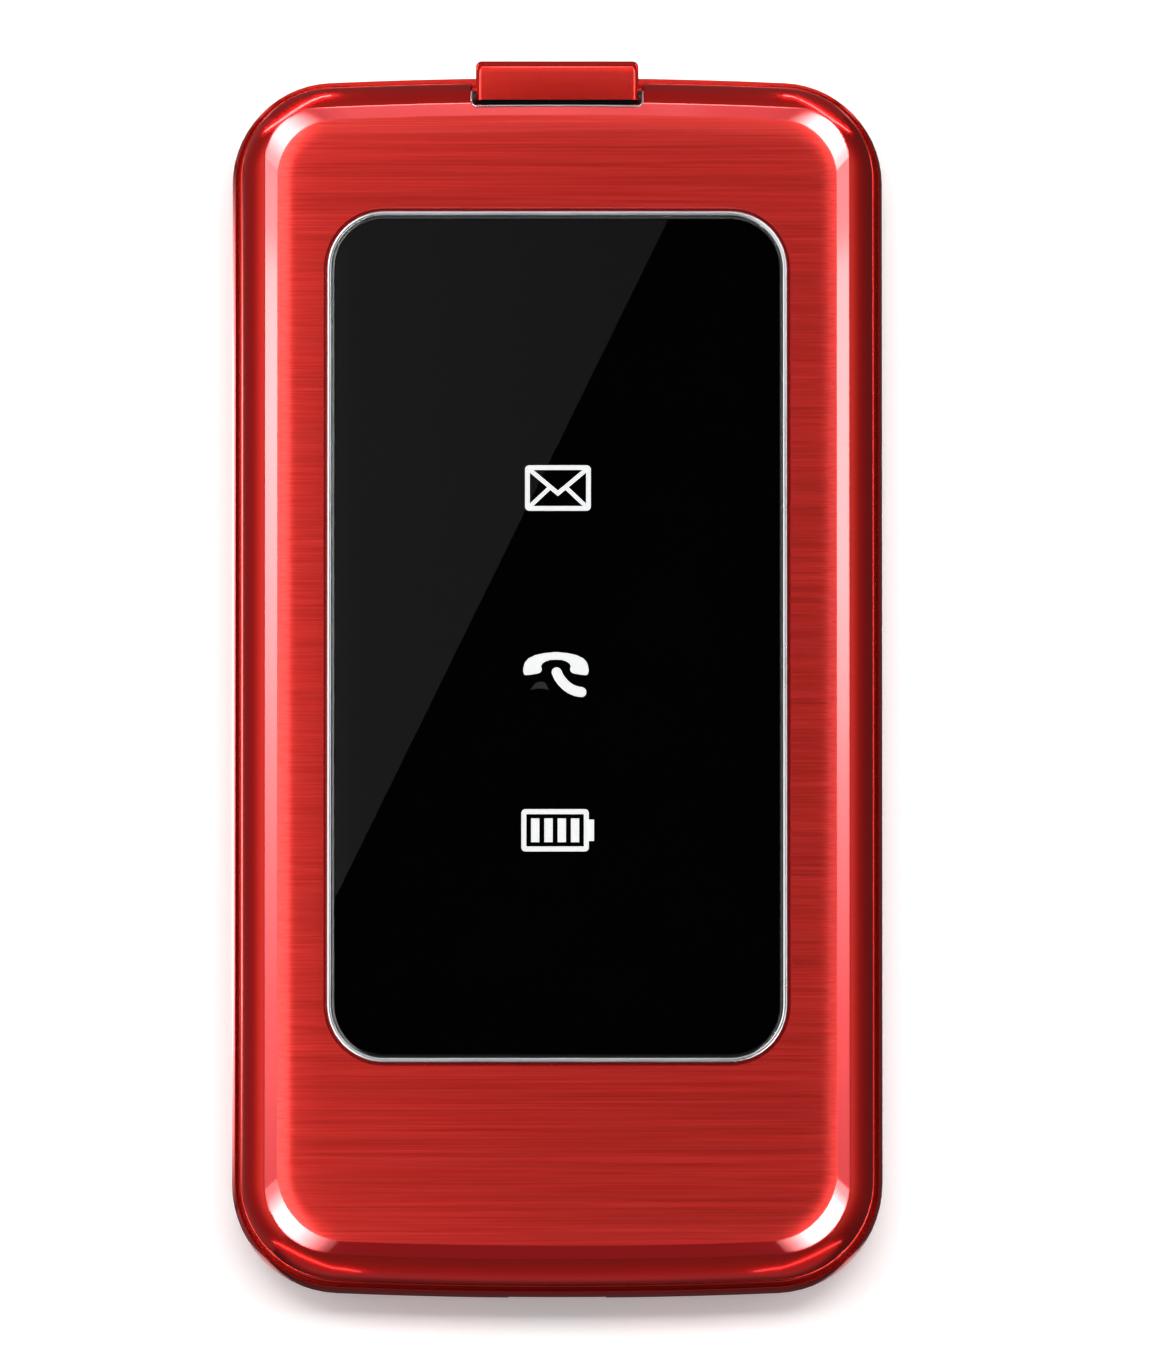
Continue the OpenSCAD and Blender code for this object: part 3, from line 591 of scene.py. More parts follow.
def clear_glass():
    return finish("clear_glass", (0.93, 0.94, 0.94), 0.0, 0.0, IOR=1.5, Transmission_Weight=1.0)[0]


def plain_effect(name, rgb, metallic, low, high, grain_depth=0.0, scale=5000.0, **extra):
    """A finish whose roughness drifts from low to high, with a moulded grain where grain_depth is given."""
    material, tree, shader = finish(name, rgb, metallic, low, **extra)
    smudge = effect(tree, "wear", Low=low, High=high)
    tree.links.new(smudge.outputs[0], shader.inputs["Roughness"])
    if grain_depth:
        speckle = effect(tree, "speckle", Scale=scale)
        bump(tree, speckle.outputs[0], shader, grain_depth, 0.5)
    return material


# Each finish by its name. The plain ones give colour, metallic, lowest and highest roughness, and grain.
MATERIALS = {
    "red_paint": red_paint,
    "red_brushed": red_brushed,
    "red_polished": red_polished,
    "silver_rim": silver_rim,
    "black_glass": black_glass,
    "clear_glass": clear_glass,
    "screen_glass": screen_glass,
    # The icons' ink glows. This is painted light that stands in for the light the glass keeps from the print.
    "icon_print": lambda: plain_effect("icon_print", colours().icon, 0.0, 0.5, 0.6,
                                       Emission_Color=(1, 1, 1, 1), Emission_Strength=0.86),
    "dial_print": lambda: plain_effect("dial_print", (0.11, 0.11, 0.11), 0.0, 0.5, 0.6),
    "clear_plastic": lambda: plain_effect("clear_plastic", (0.75, 0.76, 0.78), 0.0, 0.15, 0.3,
                                          Transmission_Weight=0.6),
    "inner_red": lambda: plain_effect("inner_red", (0.2, 0.008, 0.006), 0.0, 0.3, 0.4, 0.004, 6000.0,
                                       Specular_IOR_Level=0.2),
    "silver_key": lambda: plain_effect("silver_key", colours().key, 0.7, 0.3, 0.38, 0.002, 9000.0,
                                       Coat_Weight=0.3),
    "key_print": lambda: plain_effect("key_print", colours().key_print, 0.0, 0.45, 0.5),
    "black_plastic": lambda: plain_effect("black_plastic", (0.012, 0.012, 0.013), 0.0, 0.4, 0.5,
                                          0.004, 6000.0),
    "white_mat": lambda: plain_effect("white_mat", (0.5, 0.5, 0.52), 0.0, 0.6, 0.7),
    "black_rubber": lambda: plain_effect("black_rubber", (0.015, 0.015, 0.016), 0.0, 0.75, 0.85,
                                         0.004, 5000.0),
    "steel": lambda: plain_effect("steel", (0.3, 0.3, 0.31), 1.0, 0.26, 0.36),
    "dark_steel": lambda: plain_effect("dark_steel", (0.05, 0.05, 0.052), 0.9, 0.3, 0.42),
    "gold": lambda: plain_effect("gold", (0.78, 0.52, 0.18), 1.0, 0.2, 0.3),
    "board_green": lambda: plain_effect("board_green", (0.01, 0.09, 0.035), 0.0, 0.35, 0.45, 0.006, 4000.0),
    "battery_label": lambda: plain_effect("battery_label", (0.035, 0.04, 0.05), 0.0, 0.4, 0.5),
    "cable_black": lambda: plain_effect("cable_black", (0.012, 0.012, 0.012), 0.0, 0.45, 0.55),
    "panel_grey": lambda: plain_effect("panel_grey", (0.3, 0.3, 0.31), 0.2, 0.35, 0.45),
}
MADE = {}


def material_named(name):
    """A finish by its name, made at its first use."""
    if name not in MADE:
        MADE[name] = MATERIALS[name]()
    return MADE[name]


# --- lid ------------------------------------------------------------------------------------------

# Heights on the lid, from its join with the base up.
COVER_LOW, COVER_SIDE, COVER_EDGE, COVER_TOP = 12.1, 12.5, 17.92, 18.1
PLATE_TOP, RIM_TOP = 18.6, 18.7
# Where the window's film lies, and its thickness.
SEAT_Z, FILM_T = 17.5, 0.1
# The height from which the lid's side is one long curve.
SIDE_CURVE_Z = COVER_SIDE + 0.5
# How far the plate's opening stands off the window's rim.
WINDOW_GAP = 0.23


def cover_side():
    """The lid's side from its join up to the front plate, as (inset, height)."""
    s = sizes()
    low, high = s.lid_inset / MM, s.bevel_inset / MM
    lean, rise = high - low, COVER_EDGE - COVER_SIDE
    radius = (rise * rise + lean * lean) / (2 * lean)
    turn = math.degrees(math.asin(rise / radius))
    curve = [(low + radius - radius * math.cos(a), COVER_SIDE + radius * math.sin(a))
             for a in (math.radians(turn * i / 22) for i in range(23))]
    lip = [(low + 0.1, COVER_LOW), (low + 0.03, COVER_LOW + 0.03), (low, COVER_LOW + 0.1)]
    lip.append((low, COVER_SIDE + 0.2))
    bead = 0.16
    lip += [(low + bead - bead * math.cos(a), COVER_SIDE + 0.2 + bead * math.sin(a))
            for a in (math.radians(15 * i) for i in range(1, 6))]
    lip.append((low + 0.2, COVER_SIDE + 0.37))
    groove = 0.12
    return lip + [(i + groove * (high - i) / lean, z) for i, z in curve if z > SIDE_CURVE_Z]


def window_sizes():
    """The window's rim in plan: middle, width, length and corner radius."""
    s = sizes()
    return (0, s.window_middle / MM), s.window_width / MM, s.window_length / MM, s.window_corner / MM


def make_lid_cover():
    outline = Outline()
    bm = bmesh.new()
    rings = [outline.ring(inset, z, notch_floor(z), lid=True) for inset, z in cover_side()]
    rings += [rounded_ring(*window_sizes(), z) for z in (COVER_TOP, COVER_LOW + 0.02)]
    loft(bm, rings, closed=True)
    piece = new_object("lid_shell", bm, [material_named("red_paint")], 28.0)
    dress(piece, "lid", "red_paint", "lid_cover")


def plate_height(inset, inner):
    """The plate's top: nearly flat, rolled over a little where it meets its bevel."""
    drop = 0.0
    for reach, depth in ((4.2, 0.08), (1.5, 0.12)):
        drop += depth * max(0.0, 1.0 - (inset - inner) / reach) ** 2
    return PLATE_TOP - drop


def bevel_insets():
    """Insets of the bevel's outer and inner edges."""
    s = sizes()
    return s.bevel_inset / MM, (s.bevel_inset + s.bevel_width) / MM


def make_front_plate():
    """The plate. Loops close to both of the bevel's edges keep it shading as one flat face."""
    outline = Outline()
    outer, inner = bevel_insets()
    brushed, polished = 0, 1
    edge = plate_height(inner, inner)
    slope = Vector((inner - outer, edge - COVER_EDGE)).normalized()
    profile = [(outer + i, COVER_EDGE + i * slope.y / slope.x + min(i, 0.04) * 0.2, polished)
               for i in (0, 0.04, 0.1, 0.2)]
    for i, finish_slot in ((0.15, polished), (0.08, polished), (0.03, brushed)):
        profile.append((inner - slope.x * i, edge - slope.y * i, finish_slot))
    for i in (0.05, 0.15, 0.3, 0.5, 0.7, 0.9, 1.1, 1.3, 1.5, 2.0, 2.7, 3.4):
        profile.append((inner + i, plate_height(inner + i, inner), brushed))
    rings = [outline.ring(inset, z, lid=True) for inset, z, _ in profile]
    slots = [slot for _, _, slot in profile]
    centre, w, l, r = window_sizes()
    for grow, z, slot in ((0.6, PLATE_TOP, brushed), (0.06, PLATE_TOP, polished),
                          (0.0, PLATE_TOP - 0.06, polished), (0.0, COVER_TOP, polished)):
        rings.append(rounded_ring(centre, w + 2 * WINDOW_GAP + 2 * grow, l + 2 * WINDOW_GAP + 2 * grow,
                                  r + WINDOW_GAP + grow, z))
        slots.append(slot)
    bm = bmesh.new()
    loft(bm, rings, closed=True, slots=slots)
    metals = [material_named("red_brushed"), material_named("red_polished")]
    piece = new_object("front_face", bm, metals, 12.0)
    cut_l = 10
    notch = rounded_ring((0, PLATE_NOTCH_Y + cut_l / 2), 2 * NOTCH_HALF + 0.3, cut_l, 0.5, 0)
    combine(piece, [prism(notch, COVER_EDGE - 1, PLATE_TOP + 1)], "DIFFERENCE")
    shade_cut(piece, 12.0)
    dress(piece, "lid", "red_brushed", "front_plate")


def lid_surface(x, inset):
    """A point on the lid's side or bevel at the hinge end."""
    inner = bevel_insets()[1]
    side = [(i, z) for i, z in cover_side() if z > SIDE_CURVE_Z] + [(inner, plate_height(inner, inner))]
    z = side[0][1]
    for (i0, z0), (i1, z1) in zip(side, side[1:]):
        if i0 <= inset <= i1:
            z = z0 + (z1 - z0) * (inset - i0) / (i1 - i0)
    return Vector((x, Outline().end_y(x, inset), z))


def sweep(bm, path, radius, steps=8):
    """Adds a thin round rail along a path."""
    rings = []
    for i, p in enumerate(path):
        along = (path[min(i + 1, len(path) - 1)] - path[max(i - 1, 0)]).normalized()
        side = along.cross(Vector((0, 0, 1)))
        side = side.normalized() if side.length > 0.01 else Vector((1, 0, 0))
        up = side.cross(along).normalized()
        rings.append([p + radius * (side * math.cos(a) + up * math.sin(a)) for a in
                      (2 * math.pi * k / steps for k in range(steps))])
    loft(bm, rings, cap_first=True, cap_last=True)


def make_notch_trim():
    """The bright lip round the lid's notch, and a thin black strip on the knuckle in front of it that is
    painted shadow.
    """
    half, rail, bend = NOTCH_HALF + 0.05, 0.08, 0.45
    floor_inset = Outline().high - PLATE_NOTCH_Y - 0.02
    side = [lid_surface(half, i) for i in (1.75, 2.0, 2.25, floor_inset - bend)]
    for k in range(1, 7):
        a = math.radians(15 * k)
        side.append(lid_surface(half - bend * (1 - math.cos(a)), floor_inset - bend * (1 - math.sin(a))))
    side += [lid_surface(x, floor_inset) for x in (5.5, 3.5, 1.2)]
    path = side + [Vector((-p.x, p.y, p.z)) for p in reversed(side)]
    bm = bmesh.new()
    sweep(bm, [p + Vector((0, 0, rail / 2)) for p in path], rail)
    lip = new_object("notch_lip", bm, [material_named("silver_rim")], 60.0)
    dress(lip, "lid", "silver_rim")
    # The strip of painted shadow lies between the knuckle's radius and the lip's, so that the lid swings past
    # it.
    bm = bmesh.new()
    ring = rounded_ring((0, PLATE_NOTCH_Y + 0.335), 2 * KNUCKLE_HALF - 0.1, 0.4, 0.18, 0)
    prism_in(bm, ring, COVER_EDGE + 0.04, COVER_EDGE + 0.09)
    shadow_strip = new_object("notch_shadow_strip", bm, [material_named("black_glass")], 40.0)
    dress(shadow_strip, "base", "black_glass")


def window_ring(inset, z):
    """The window's outline, inset by any amount."""
    centre, w, l, r = window_sizes()
    return rounded_ring(centre, w - 2 * inset, l - 2 * inset, r - inset, z)


def make_window():
    rim = sizes().rim_width / MM
    bm = bmesh.new()
    profile = [(0.0, SEAT_Z), (0.0, RIM_TOP - 0.1), (0.03, RIM_TOP - 0.04), (0.09, RIM_TOP),
               (rim - 0.08, RIM_TOP), (rim - 0.02, RIM_TOP - 0.04), (rim, RIM_TOP - 0.1), (rim, SEAT_Z)]
    loft(bm, [window_ring(i, z) for i, z in profile], closed=True)
    ring = new_object("window_frame", bm, [material_named("silver_rim")], 50.0)
    dress(ring, "lid", "silver_rim", "window_rim")

    bm = bmesh.new()
    edge = rim + 0.01
    top = PLATE_TOP + 0.02
    profile = [(edge, SEAT_Z + 0.22), (edge, top - 0.06), (edge + 0.02, top - 0.02), (edge + 0.06, top)]
    profile.append((edge + 0.3, top))
    loft(bm, [window_ring(i, z) for i, z in profile], cap_first=True, cap_last=True)
    glass = new_object("window_pane", bm, [material_named("clear_glass")], 40.0)
    dress(glass, "lid", "black_glass", "window_glass")

    bm = bmesh.new()
    loft(bm, [window_ring(edge, z) for z in (SEAT_Z, SEAT_Z + FILM_T)], cap_first=True, cap_last=True)
    film = new_object("window_film", bm, [material_named("black_glass")], 40.0)
    dress(film, "lid", "black_glass", "icon_film")


def flat_print(bm, points, z, thickness):
    """Adds a thin printed shape with the outline that the points give."""
    lower = [bm.verts.new((x, y, z)) for x, y in points]
    upper = [bm.verts.new((x, y, z + thickness)) for x, y in points]
    bm.faces.new(list(reversed(lower)))
    bm.faces.new(upper)
    for i in range(len(points)):
        n = (i + 1) % len(points)
        bm.faces.new((lower[i], lower[n], upper[n], upper[i]))


def print_frame(bm, w, l, stroke, radius, z, thickness):
    """Adds a thin printed frame with round outer corners."""
    rings = []
    for inset, height in ((0, z), (0, z + thickness), (stroke, z + thickness), (stroke, z)):
        rings.append(rounded_ring((0, 0), w - 2 * inset, l - 2 * inset, max(radius - inset, 0.04), height))
    loft(bm, rings, closed=True)


def print_stroke(bm, points, width, z, thickness):
    """Adds a thin printed line with square ends."""
    left, right = [], []
    for i, (x, y) in enumerate(points):
        before, after = points[max(i - 1, 0)], points[min(i + 1, len(points) - 1)]
        along = Vector((after[0] - before[0], after[1] - before[1])).normalized()
        side = Vector((-along.y, along.x)) * (width / 2)
        turn = 1.0
        if 0 < i < len(points) - 1:
            leg = Vector((x - before[0], y - before[1])).normalized()
            turn = 1.0 / max(abs(leg.x * along.x + leg.y * along.y), 0.3)
        left.append((x + side.x * turn, y + side.y * turn))
        right.append((x - side.x * turn, y - side.y * turn))
    flat_print(bm, left + list(reversed(right)), z, thickness)


# The icons' ink: its lower face, just over the film, and its thickness.
PRINT_Z, PRINT_T = SEAT_Z + 0.105, 0.02


def envelope_icon(bm):
    """An envelope's outline with its folded flap."""
    print_frame(bm, 5.54, 3.84, 0.40, 0.36, PRINT_Z, PRINT_T)
    print_stroke(bm, [(-2.42, 1.58), (0.0, -0.45), (2.42, 1.58)], 0.36, PRINT_Z + 0.002, PRINT_T)
    for side in (-1, 1):
        print_stroke(bm, [(side * 2.42, -1.6), (side * 0.72, 0.0)], 0.34, PRINT_Z + 0.004, PRINT_T)


def handset_icon(bm):
    """A receiver lying over its cradle, with a thick cord that curves away from it."""
    half = [(0.0, 1.95), (0.95, 1.86), (1.7, 1.7), (2.3, 1.42), (2.62, 1.05), (2.74, 0.6), (2.75, 0.3),
            (2.66, 0.04), (2.45, 0.0), (1.9, 0.07), (1.4, 0.17), (1.22, 0.34), (1.2, 0.55), (1.25, 0.75),
            (1.15, 0.98), (0.85, 1.18), (0.45, 1.29), (0.0, 1.31)]
    flat_print(bm, half + [(-x, y) for x, y in reversed(half[1:-1])], PRINT_Z, PRINT_T)
    cord = [(0.06, 0.26), (0.22, -0.12), (0.5, -0.52), (0.86, -0.9), (1.28, -1.18), (1.72, -1.36),
            (2.2, -1.43)]
    print_stroke(bm, cord, 0.84, PRINT_Z, PRINT_T)
    for x, y, r in ((0.06, 0.24, 0.42), (2.14, -1.43, 0.42)):
        flat_print(bm, list(arc(x, y, r, 0, 360, 24)), PRINT_Z - 0.001, PRINT_T)


def dial_mark(bm):
    """The faint dial behind the handset."""
    outline = [(-2.15, -1.25), (-1.55, -1.12), (-1.0, -1.14), (-0.6, -1.25), (-0.86, -0.68), (-1.05, -0.56),
               (-1.5, -0.56), (-1.78, -0.72)]
    flat_print(bm, outline, PRINT_Z, PRINT_T)


def battery_icon(bm):
    """A battery with four bars and a terminal."""
    print_frame(bm, 5.68, 3.56, 0.42, 0.34, PRINT_Z, PRINT_T)
    first, pitch, half = -1.67, 1.117, 0.35
    for i in range(4):
        x = first + i * pitch
        cell = [(x - half, -1.0), (x + half, -1.0), (x + half, 1.0), (x - half, 1.0)]
        flat_print(bm, cell, PRINT_Z, PRINT_T)
    flat_print(bm, [(2.83, -0.9), (3.28, -0.9), (3.28, 0.9), (2.83, 0.9)], PRINT_Z, PRINT_T)


# Each icon: its piece, how it is drawn, its ink, and its place on the lid.
ICONS = (("print_envelope", envelope_icon, "icon_print", 0.07, 15.8),
         ("print_handset", handset_icon, "icon_print", -0.1, 0.02),
         ("print_dial", dial_mark, "dial_print", -0.1, 0.02),
         ("print_battery", battery_icon, "icon_print", -0.17, -13.05))


def make_icons():
    for name, draw, ink, x, y in ICONS:
        bm = bmesh.new()
        draw(bm)
        bmesh.ops.translate(bm, vec=(x, y, 0), verts=list(bm.verts))
        piece = new_object(name, bm, [material_named(ink)], 40.0)
        dress(piece, "lid", "icon_print")


# The lid's inner face: its lowest height, the ledge that the lens lies on, and what is let into it.
FRAME_LOW, LEDGE_Z = 11.1, 11.9
LENS_MIDDLE, LENS_W, LENS_L, LENS_CORNER = (0, 3), 46, 66, 3
VIEW_W, VIEW_L = 38, 51
EARPIECE = (0, -42)
LID_SCREWS = ((22, 40.5), (-22, 40.5), (21, -42), (-21, -42))
BUMPER_X, BUMPER_Y = 18.5, CAD_BOX[0].y / MM + 3.1


def make_lid_face():
    """The inner face of the lid, with its lens and the earpiece's opening."""
    outline = Outline()
    inset = sizes().lid_inset / MM
    bm = bmesh.new()
    profile = [(inset + 0.33, FRAME_LOW), (inset + 0.27, FRAME_LOW + 0.02), (inset + 0.2, FRAME_LOW + 0.08),
               (inset + 0.03, FRAME_LOW + 0.44), (inset, FRAME_LOW + 0.52), (inset, COVER_LOW - 0.07),
               (inset + 0.06, COVER_LOW)]
    rings = [outline.ring(i, z, notch_floor(z)) for i, z in profile]
    rings += [rounded_ring(LENS_MIDDLE, VIEW_W, VIEW_L, 0.5, z) for z in (COVER_LOW, LEDGE_Z)]
    for wider, radius, z in ((0.2, LENS_CORNER, LEDGE_Z), (0.2, LENS_CORNER, FRAME_LOW + 0.08),
                             (0.36, LENS_CORNER + 0.08, FRAME_LOW)):
        rings.append(rounded_ring(LENS_MIDDLE, LENS_W + wider, LENS_L + wider, radius, z))
    loft(bm, rings, closed=True)
    piece = new_object("lid_inner_face", bm, [material_named("inner_red")], 32.0)
    below = FRAME_LOW - 0.1
    cuts = [prism(rounded_ring(EARPIECE, 12.2, 2.2, 1.05, 0), below, 11.8),
            prism(rounded_ring(EARPIECE, 11, 1.4, 0.65, 0), below, 12.5)]
    for x, y in LID_SCREWS:
        cuts += [drum(x, y, 1.7, below, 11.7), drum(x, y, 0.9, below, 12.5, 32)]
    cuts += [drum(x, BUMPER_Y, 1.3, below, 11.5) for x in (-BUMPER_X, BUMPER_X)]
    combine(piece, cuts, "DIFFERENCE")
    shade_cut(piece, 32.0)
    dress(piece, "lid", "inner_red", "lid_frame")

    bm = bmesh.new()
    rings = [rounded_ring(LENS_MIDDLE, LENS_W - 2 * i, LENS_L - 2 * i, LENS_CORNER - i, z)
             for i, z in ((0.15, 11.15), (0.05, 11.18), (0, 11.26), (0, 11.88))]
    loft(bm, rings, cap_first=True, cap_last=True)
    lens = new_object("inner_lens", bm, [material_named("screen_glass")], 40.0)
    dress(lens, "lid", "black_glass", "display_lens")


# --- base -----------------------------------------------------------------------------------------

# Heights on the base: the casings' join, the foot of the rim's curve, the rim, the deck and its thickness.
JOIN_Z, SHOULDER_Z, RIM_Z, DECK_Z, DECK_T = 6.2, 6.8, 10.8, 10.2, 0.8
# The keypad's recess: middle, width, length and corner radius.
KEYPAD = ((0, -1.5), 48.0, 83.0, 5.0)
KEY_GAP, KEY_CORNER = 0.25, 1.6
# Keys: name, mark, place, width and length.
DIGITS = [(f"key_{d}", d, (i % 3 - 1) * 15.9, 11.5 - (i // 3) * 14.8, 14.9, 13.2)
          for i, d in enumerate(("1", "2", "3", "4", "5", "6", "7", "8", "9", "star", "0", "hash"))]
SIDE_KEYS = [("soft_key_left", "dash", -17.6, 35.5, 12.4, 7.5),
             ("soft_key_right", "dash", 17.6, 35.5, 12.4, 7.5),
             ("call_key", "call", -17.6, 24.6, 12.4, 8.5),
             ("end_key", "end", 17.6, 24.6, 12.4, 8.5)]
NAV = (0, 30)
NAV_RADIUS = 9.2
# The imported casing's ends and walls, the height of its inner back face, and the places on it.
CASE_LOW_Y, CASE_HIGH_Y, WALL, INNER_BACK_Z = -51.975, 51.075, 2.2, 2.2
BASE_SCREWS = ((19.5, 44.6), (-19.5, 44.6), (20, -45.2), (-20, -45.2))
BATTERY_MIDDLE, BATTERY_W, BATTERY_L = (0, -2.5), 34.6, 53.6
CAMERA = (0, 37.5)
SPEAKER, SPEAKER_PITCH = (13.5, 37.5), 1.6
CARD_TRAY = (10.5, -38.5)
JACK_Y, JACK_Z = 36, 4.2
ROCKER_Y, ROCKER_HALF = 36.4, 5.95
STRAP_Y = -37.7
SOCKET_Z = 4.3
MICROPHONE = (0, -45.2)
BARREL_RADIUS = 2.3


def rim_side():
    """The base's side, as (inset, height): from its join up to its crest, then the gap inside it."""
    inset = sizes().lid_inset / MM
    rise = RIM_Z - SHOULDER_Z
    radius = (rise * rise + inset * inset) / (2 * inset)
    turn = math.degrees(math.asin(rise / radius))
    curve = []
    for i in range(15):
        a = math.radians(turn * i / 14)
        curve.append((radius - radius * math.cos(a), SHOULDER_Z + radius * math.sin(a)))
    lead = [(0.06, JOIN_Z), (0.02, JOIN_Z + 0.02), (0.0, JOIN_Z + 0.06)]
    draw_in = 0.42
    curve = [(i * draw_in, z) for i, z in curve if z < RIM_Z - 0.3]
    crest, crest_r = 0.36, 0.06
    top = [(crest - crest_r * math.cos(math.radians(a)), RIM_Z - 0.2 + 0.1 * math.sin(math.radians(a)))
           for a in (0, 20, 40, 60, 80, 100, 130, 160)]
    gap = [(0.43, RIM_Z - 0.9), (0.95, RIM_Z - 0.9), (0.95, RIM_Z - 0.05), (1.0, RIM_Z)]
    return lead + curve + top + gap


def slice_ring(points, x):
    """A side view given from the hinge axis, standing at x."""
    return [Vector((x, AXIS_Y + y, AXIS_Z + z)) for y, z in points]


def slice_across(points, half):
    """A cutter with a side view given from the hinge axis, as wide as the phone."""
    return lambda bm: loft(bm, [slice_ring(points, x) for x in (-half, half)], cap_first=True, cap_last=True)


def knuckle_view(grow=0.0):
    """The knuckle's side view: a circle cut square at the end and the top, with one round edge."""
    radius, end, top, edge = 4.36 + grow, 3.22 + grow, 3.5 + grow, 1.0 + grow
    a_top = 90 + math.degrees(math.acos(top / radius))
    a_end = -math.degrees(math.acos(end / radius))
    points = list(arc(end - edge, top - edge, edge, 0, 90, 12)) + [(end - edge, top)]
    points += list(arc(0, 0, radius, a_top, 360 + a_end, 64))
    points.append((end, radius * math.sin(math.radians(a_end))))
    return points


def knuckle_in(bm):
    """The knuckle between the lid's ears, with softened side edges."""
    round_edge = 0.48
    steps = [(KNUCKLE_HALF - round_edge + round_edge * math.cos(a), round_edge * math.sin(a) - round_edge)
             for a in (math.radians(11.25 * i) for i in range(9))]
    rings = [slice_ring(knuckle_view(grow), -x) for x, grow in steps]
    rings += [slice_ring(knuckle_view(grow), x) for x, grow in reversed(steps)]
    loft(bm, rings, cap_first=True, cap_last=True)


def make_front_frame():
    """The frame round the keypad. The hollow for the lid's ears and the knuckle are round the hinge axis."""
    outline = Outline()
    centre, w, l, r = KEYPAD
    bm = bmesh.new()
    rings = [outline.ring(inset, z) for inset, z in rim_side()]
    for i, z in ((0.12, RIM_Z), (0.03, RIM_Z - 0.03), (0, RIM_Z - 0.12), (0, JOIN_Z)):
        rings.append(rounded_ring(centre, w + 2 * i, l + 2 * i, r + i, z))
    loft(bm, rings, closed=True)
    piece = new_object("keypad_frame", bm, [material_named("red_paint")], 30.0)
    wide, rim_up = 30.0, RIM_Z - AXIS_Z
    combine(piece, [
        bar(-wide, wide, AXIS_Y, AXIS_Z, 3.15, 160),
        slice_across([(0.15, rim_up), (4.5, rim_up - 2.61), (4.5, 0), (0.15, 0)], wide),
        drum(*MICROPHONE, 0.5, 9, 12, 32),
    ], "DIFFERENCE")
    deck = rounded_ring(centre, w + 0.6, l + 0.6, r + 0.3, 0)
    combine(piece, [knuckle_in, prism(deck, DECK_Z - DECK_T, DECK_Z)], "UNION")
    low, high = 8, 12
    cuts = []
    for _, _, x, y, kw, kl in DIGITS + SIDE_KEYS:
        opening = rounded_ring((x, y), kw + 2 * KEY_GAP, kl + 2 * KEY_GAP, KEY_CORNER + KEY_GAP, 0)
        cuts.append(prism(opening, low, high))
    cuts.append(drum(*NAV, NAV_RADIUS + KEY_GAP, low, high, 120))
    cuts.append(bar(-13.7, 2.2, AXIS_Y, AXIS_Z, BARREL_RADIUS))
    cuts.append(bar(4.1, 13.7, AXIS_Y, AXIS_Z, 1.02, 48))
    combine(piece, cuts, "DIFFERENCE")
    shade_cut(piece, 30.0)
    dress(piece, "base", "red_paint", "front_frame")


def back_side(top):
    """The round back edge from the flat back upwards, as (inset, height)."""
    r = sizes().back_edge / MM
    curve = []
    for i in range(25):
        a = math.radians(-90 + 90 * i / 24)
        inset, z = r - r * math.cos(a), r + r * math.sin(a)
        if z < top:
            curve.append((inset, z))
    last = max(top, curve[-1][1] + 0.001)
    inset = 0.0 if last >= r else r - math.sqrt(r * r - (r - last) ** 2)
    return curve + [(inset, last)]


def cover_outline(grow):
    """The battery cover's outline in plan, out past the bottom end."""
    half, top, bottom = 22 + grow, 28 + grow, -60
    return [Vector(p) for p in ((half, bottom, 0), (half, top, 0), (-half, top, 0), (-half, bottom, 0))]


def make_rear_case():
    outline = Outline()
    bm = bmesh.new()
    rings = [outline.ring(inset, z) for inset, z in back_side(JOIN_Z - 0.08)]
    rings += [outline.ring(0.02, JOIN_Z - 0.03), outline.ring(0.08, JOIN_Z)]
    loft(bm, rings, cap_first=True, cap_last=True)
    piece = new_object("back_shell", bm, [material_named("red_paint")], 30.0)
    inner_l = CASE_HIGH_Y - WALL - CASE_LOW_Y - WALL
    hollow = rounded_ring((0, CASE_HIGH_Y - WALL - inner_l / 2), 50.6, inner_l, 6, 0)
    combine(piece, [prism(hollow, INNER_BACK_Z, 9)], "DIFFERENCE")
    bay = rounded_ring(BATTERY_MIDDLE, BATTERY_W + 2, BATTERY_L + 2, 1.5, 0)
    combine(piece, [prism(bay, 2.0, JOIN_Z - 0.01)], "UNION")
    out, through = -1, 2.5
    cuts = [
        prism(cover_outline(0.15), out, 1.4),
        prism(rounded_ring(BATTERY_MIDDLE, BATTERY_W, BATTERY_L, 0.8, 0), out, 6.5),
        drum(*CAMERA, 3.25, out, 0.9, 96),
        drum(*CAMERA, 2.7, out, through, 96),
        bar(-28.5, -24.5, JACK_Y, JACK_Z, 1.85),
        lambda b: box_in(b, (26.5, ROCKER_Y - ROCKER_HALF, 2.9), (30.5, ROCKER_Y + ROCKER_HALF, 5.9)),
        prism(rounded_ring((0, -51), 8.3, 6, 0.3, 0), SOCKET_Z - 1.55, SOCKET_Z + 1.55),
        lambda b: box_in(b, (-30, STRAP_Y - 2.3, 2.4), (-25, STRAP_Y + 2.3, 5.4)),
        prism(rounded_ring(CARD_TRAY, 14, 11, 1, 0), 1, 2.4),
    ]
    for i in range(-2, 3):
        slot = rounded_ring((SPEAKER[0], SPEAKER[1] + i * SPEAKER_PITCH), 7, 0.8, 0.39, 0)
        cuts.append(prism(slot, out, through))
    cuts += [drum(x, y, 1.7, out, 2.6) for x, y in BASE_SCREWS]
    combine(piece, cuts, "DIFFERENCE")
    shade_cut(piece, 30.0)
    dress(piece, "base", "red_paint", "rear_case")


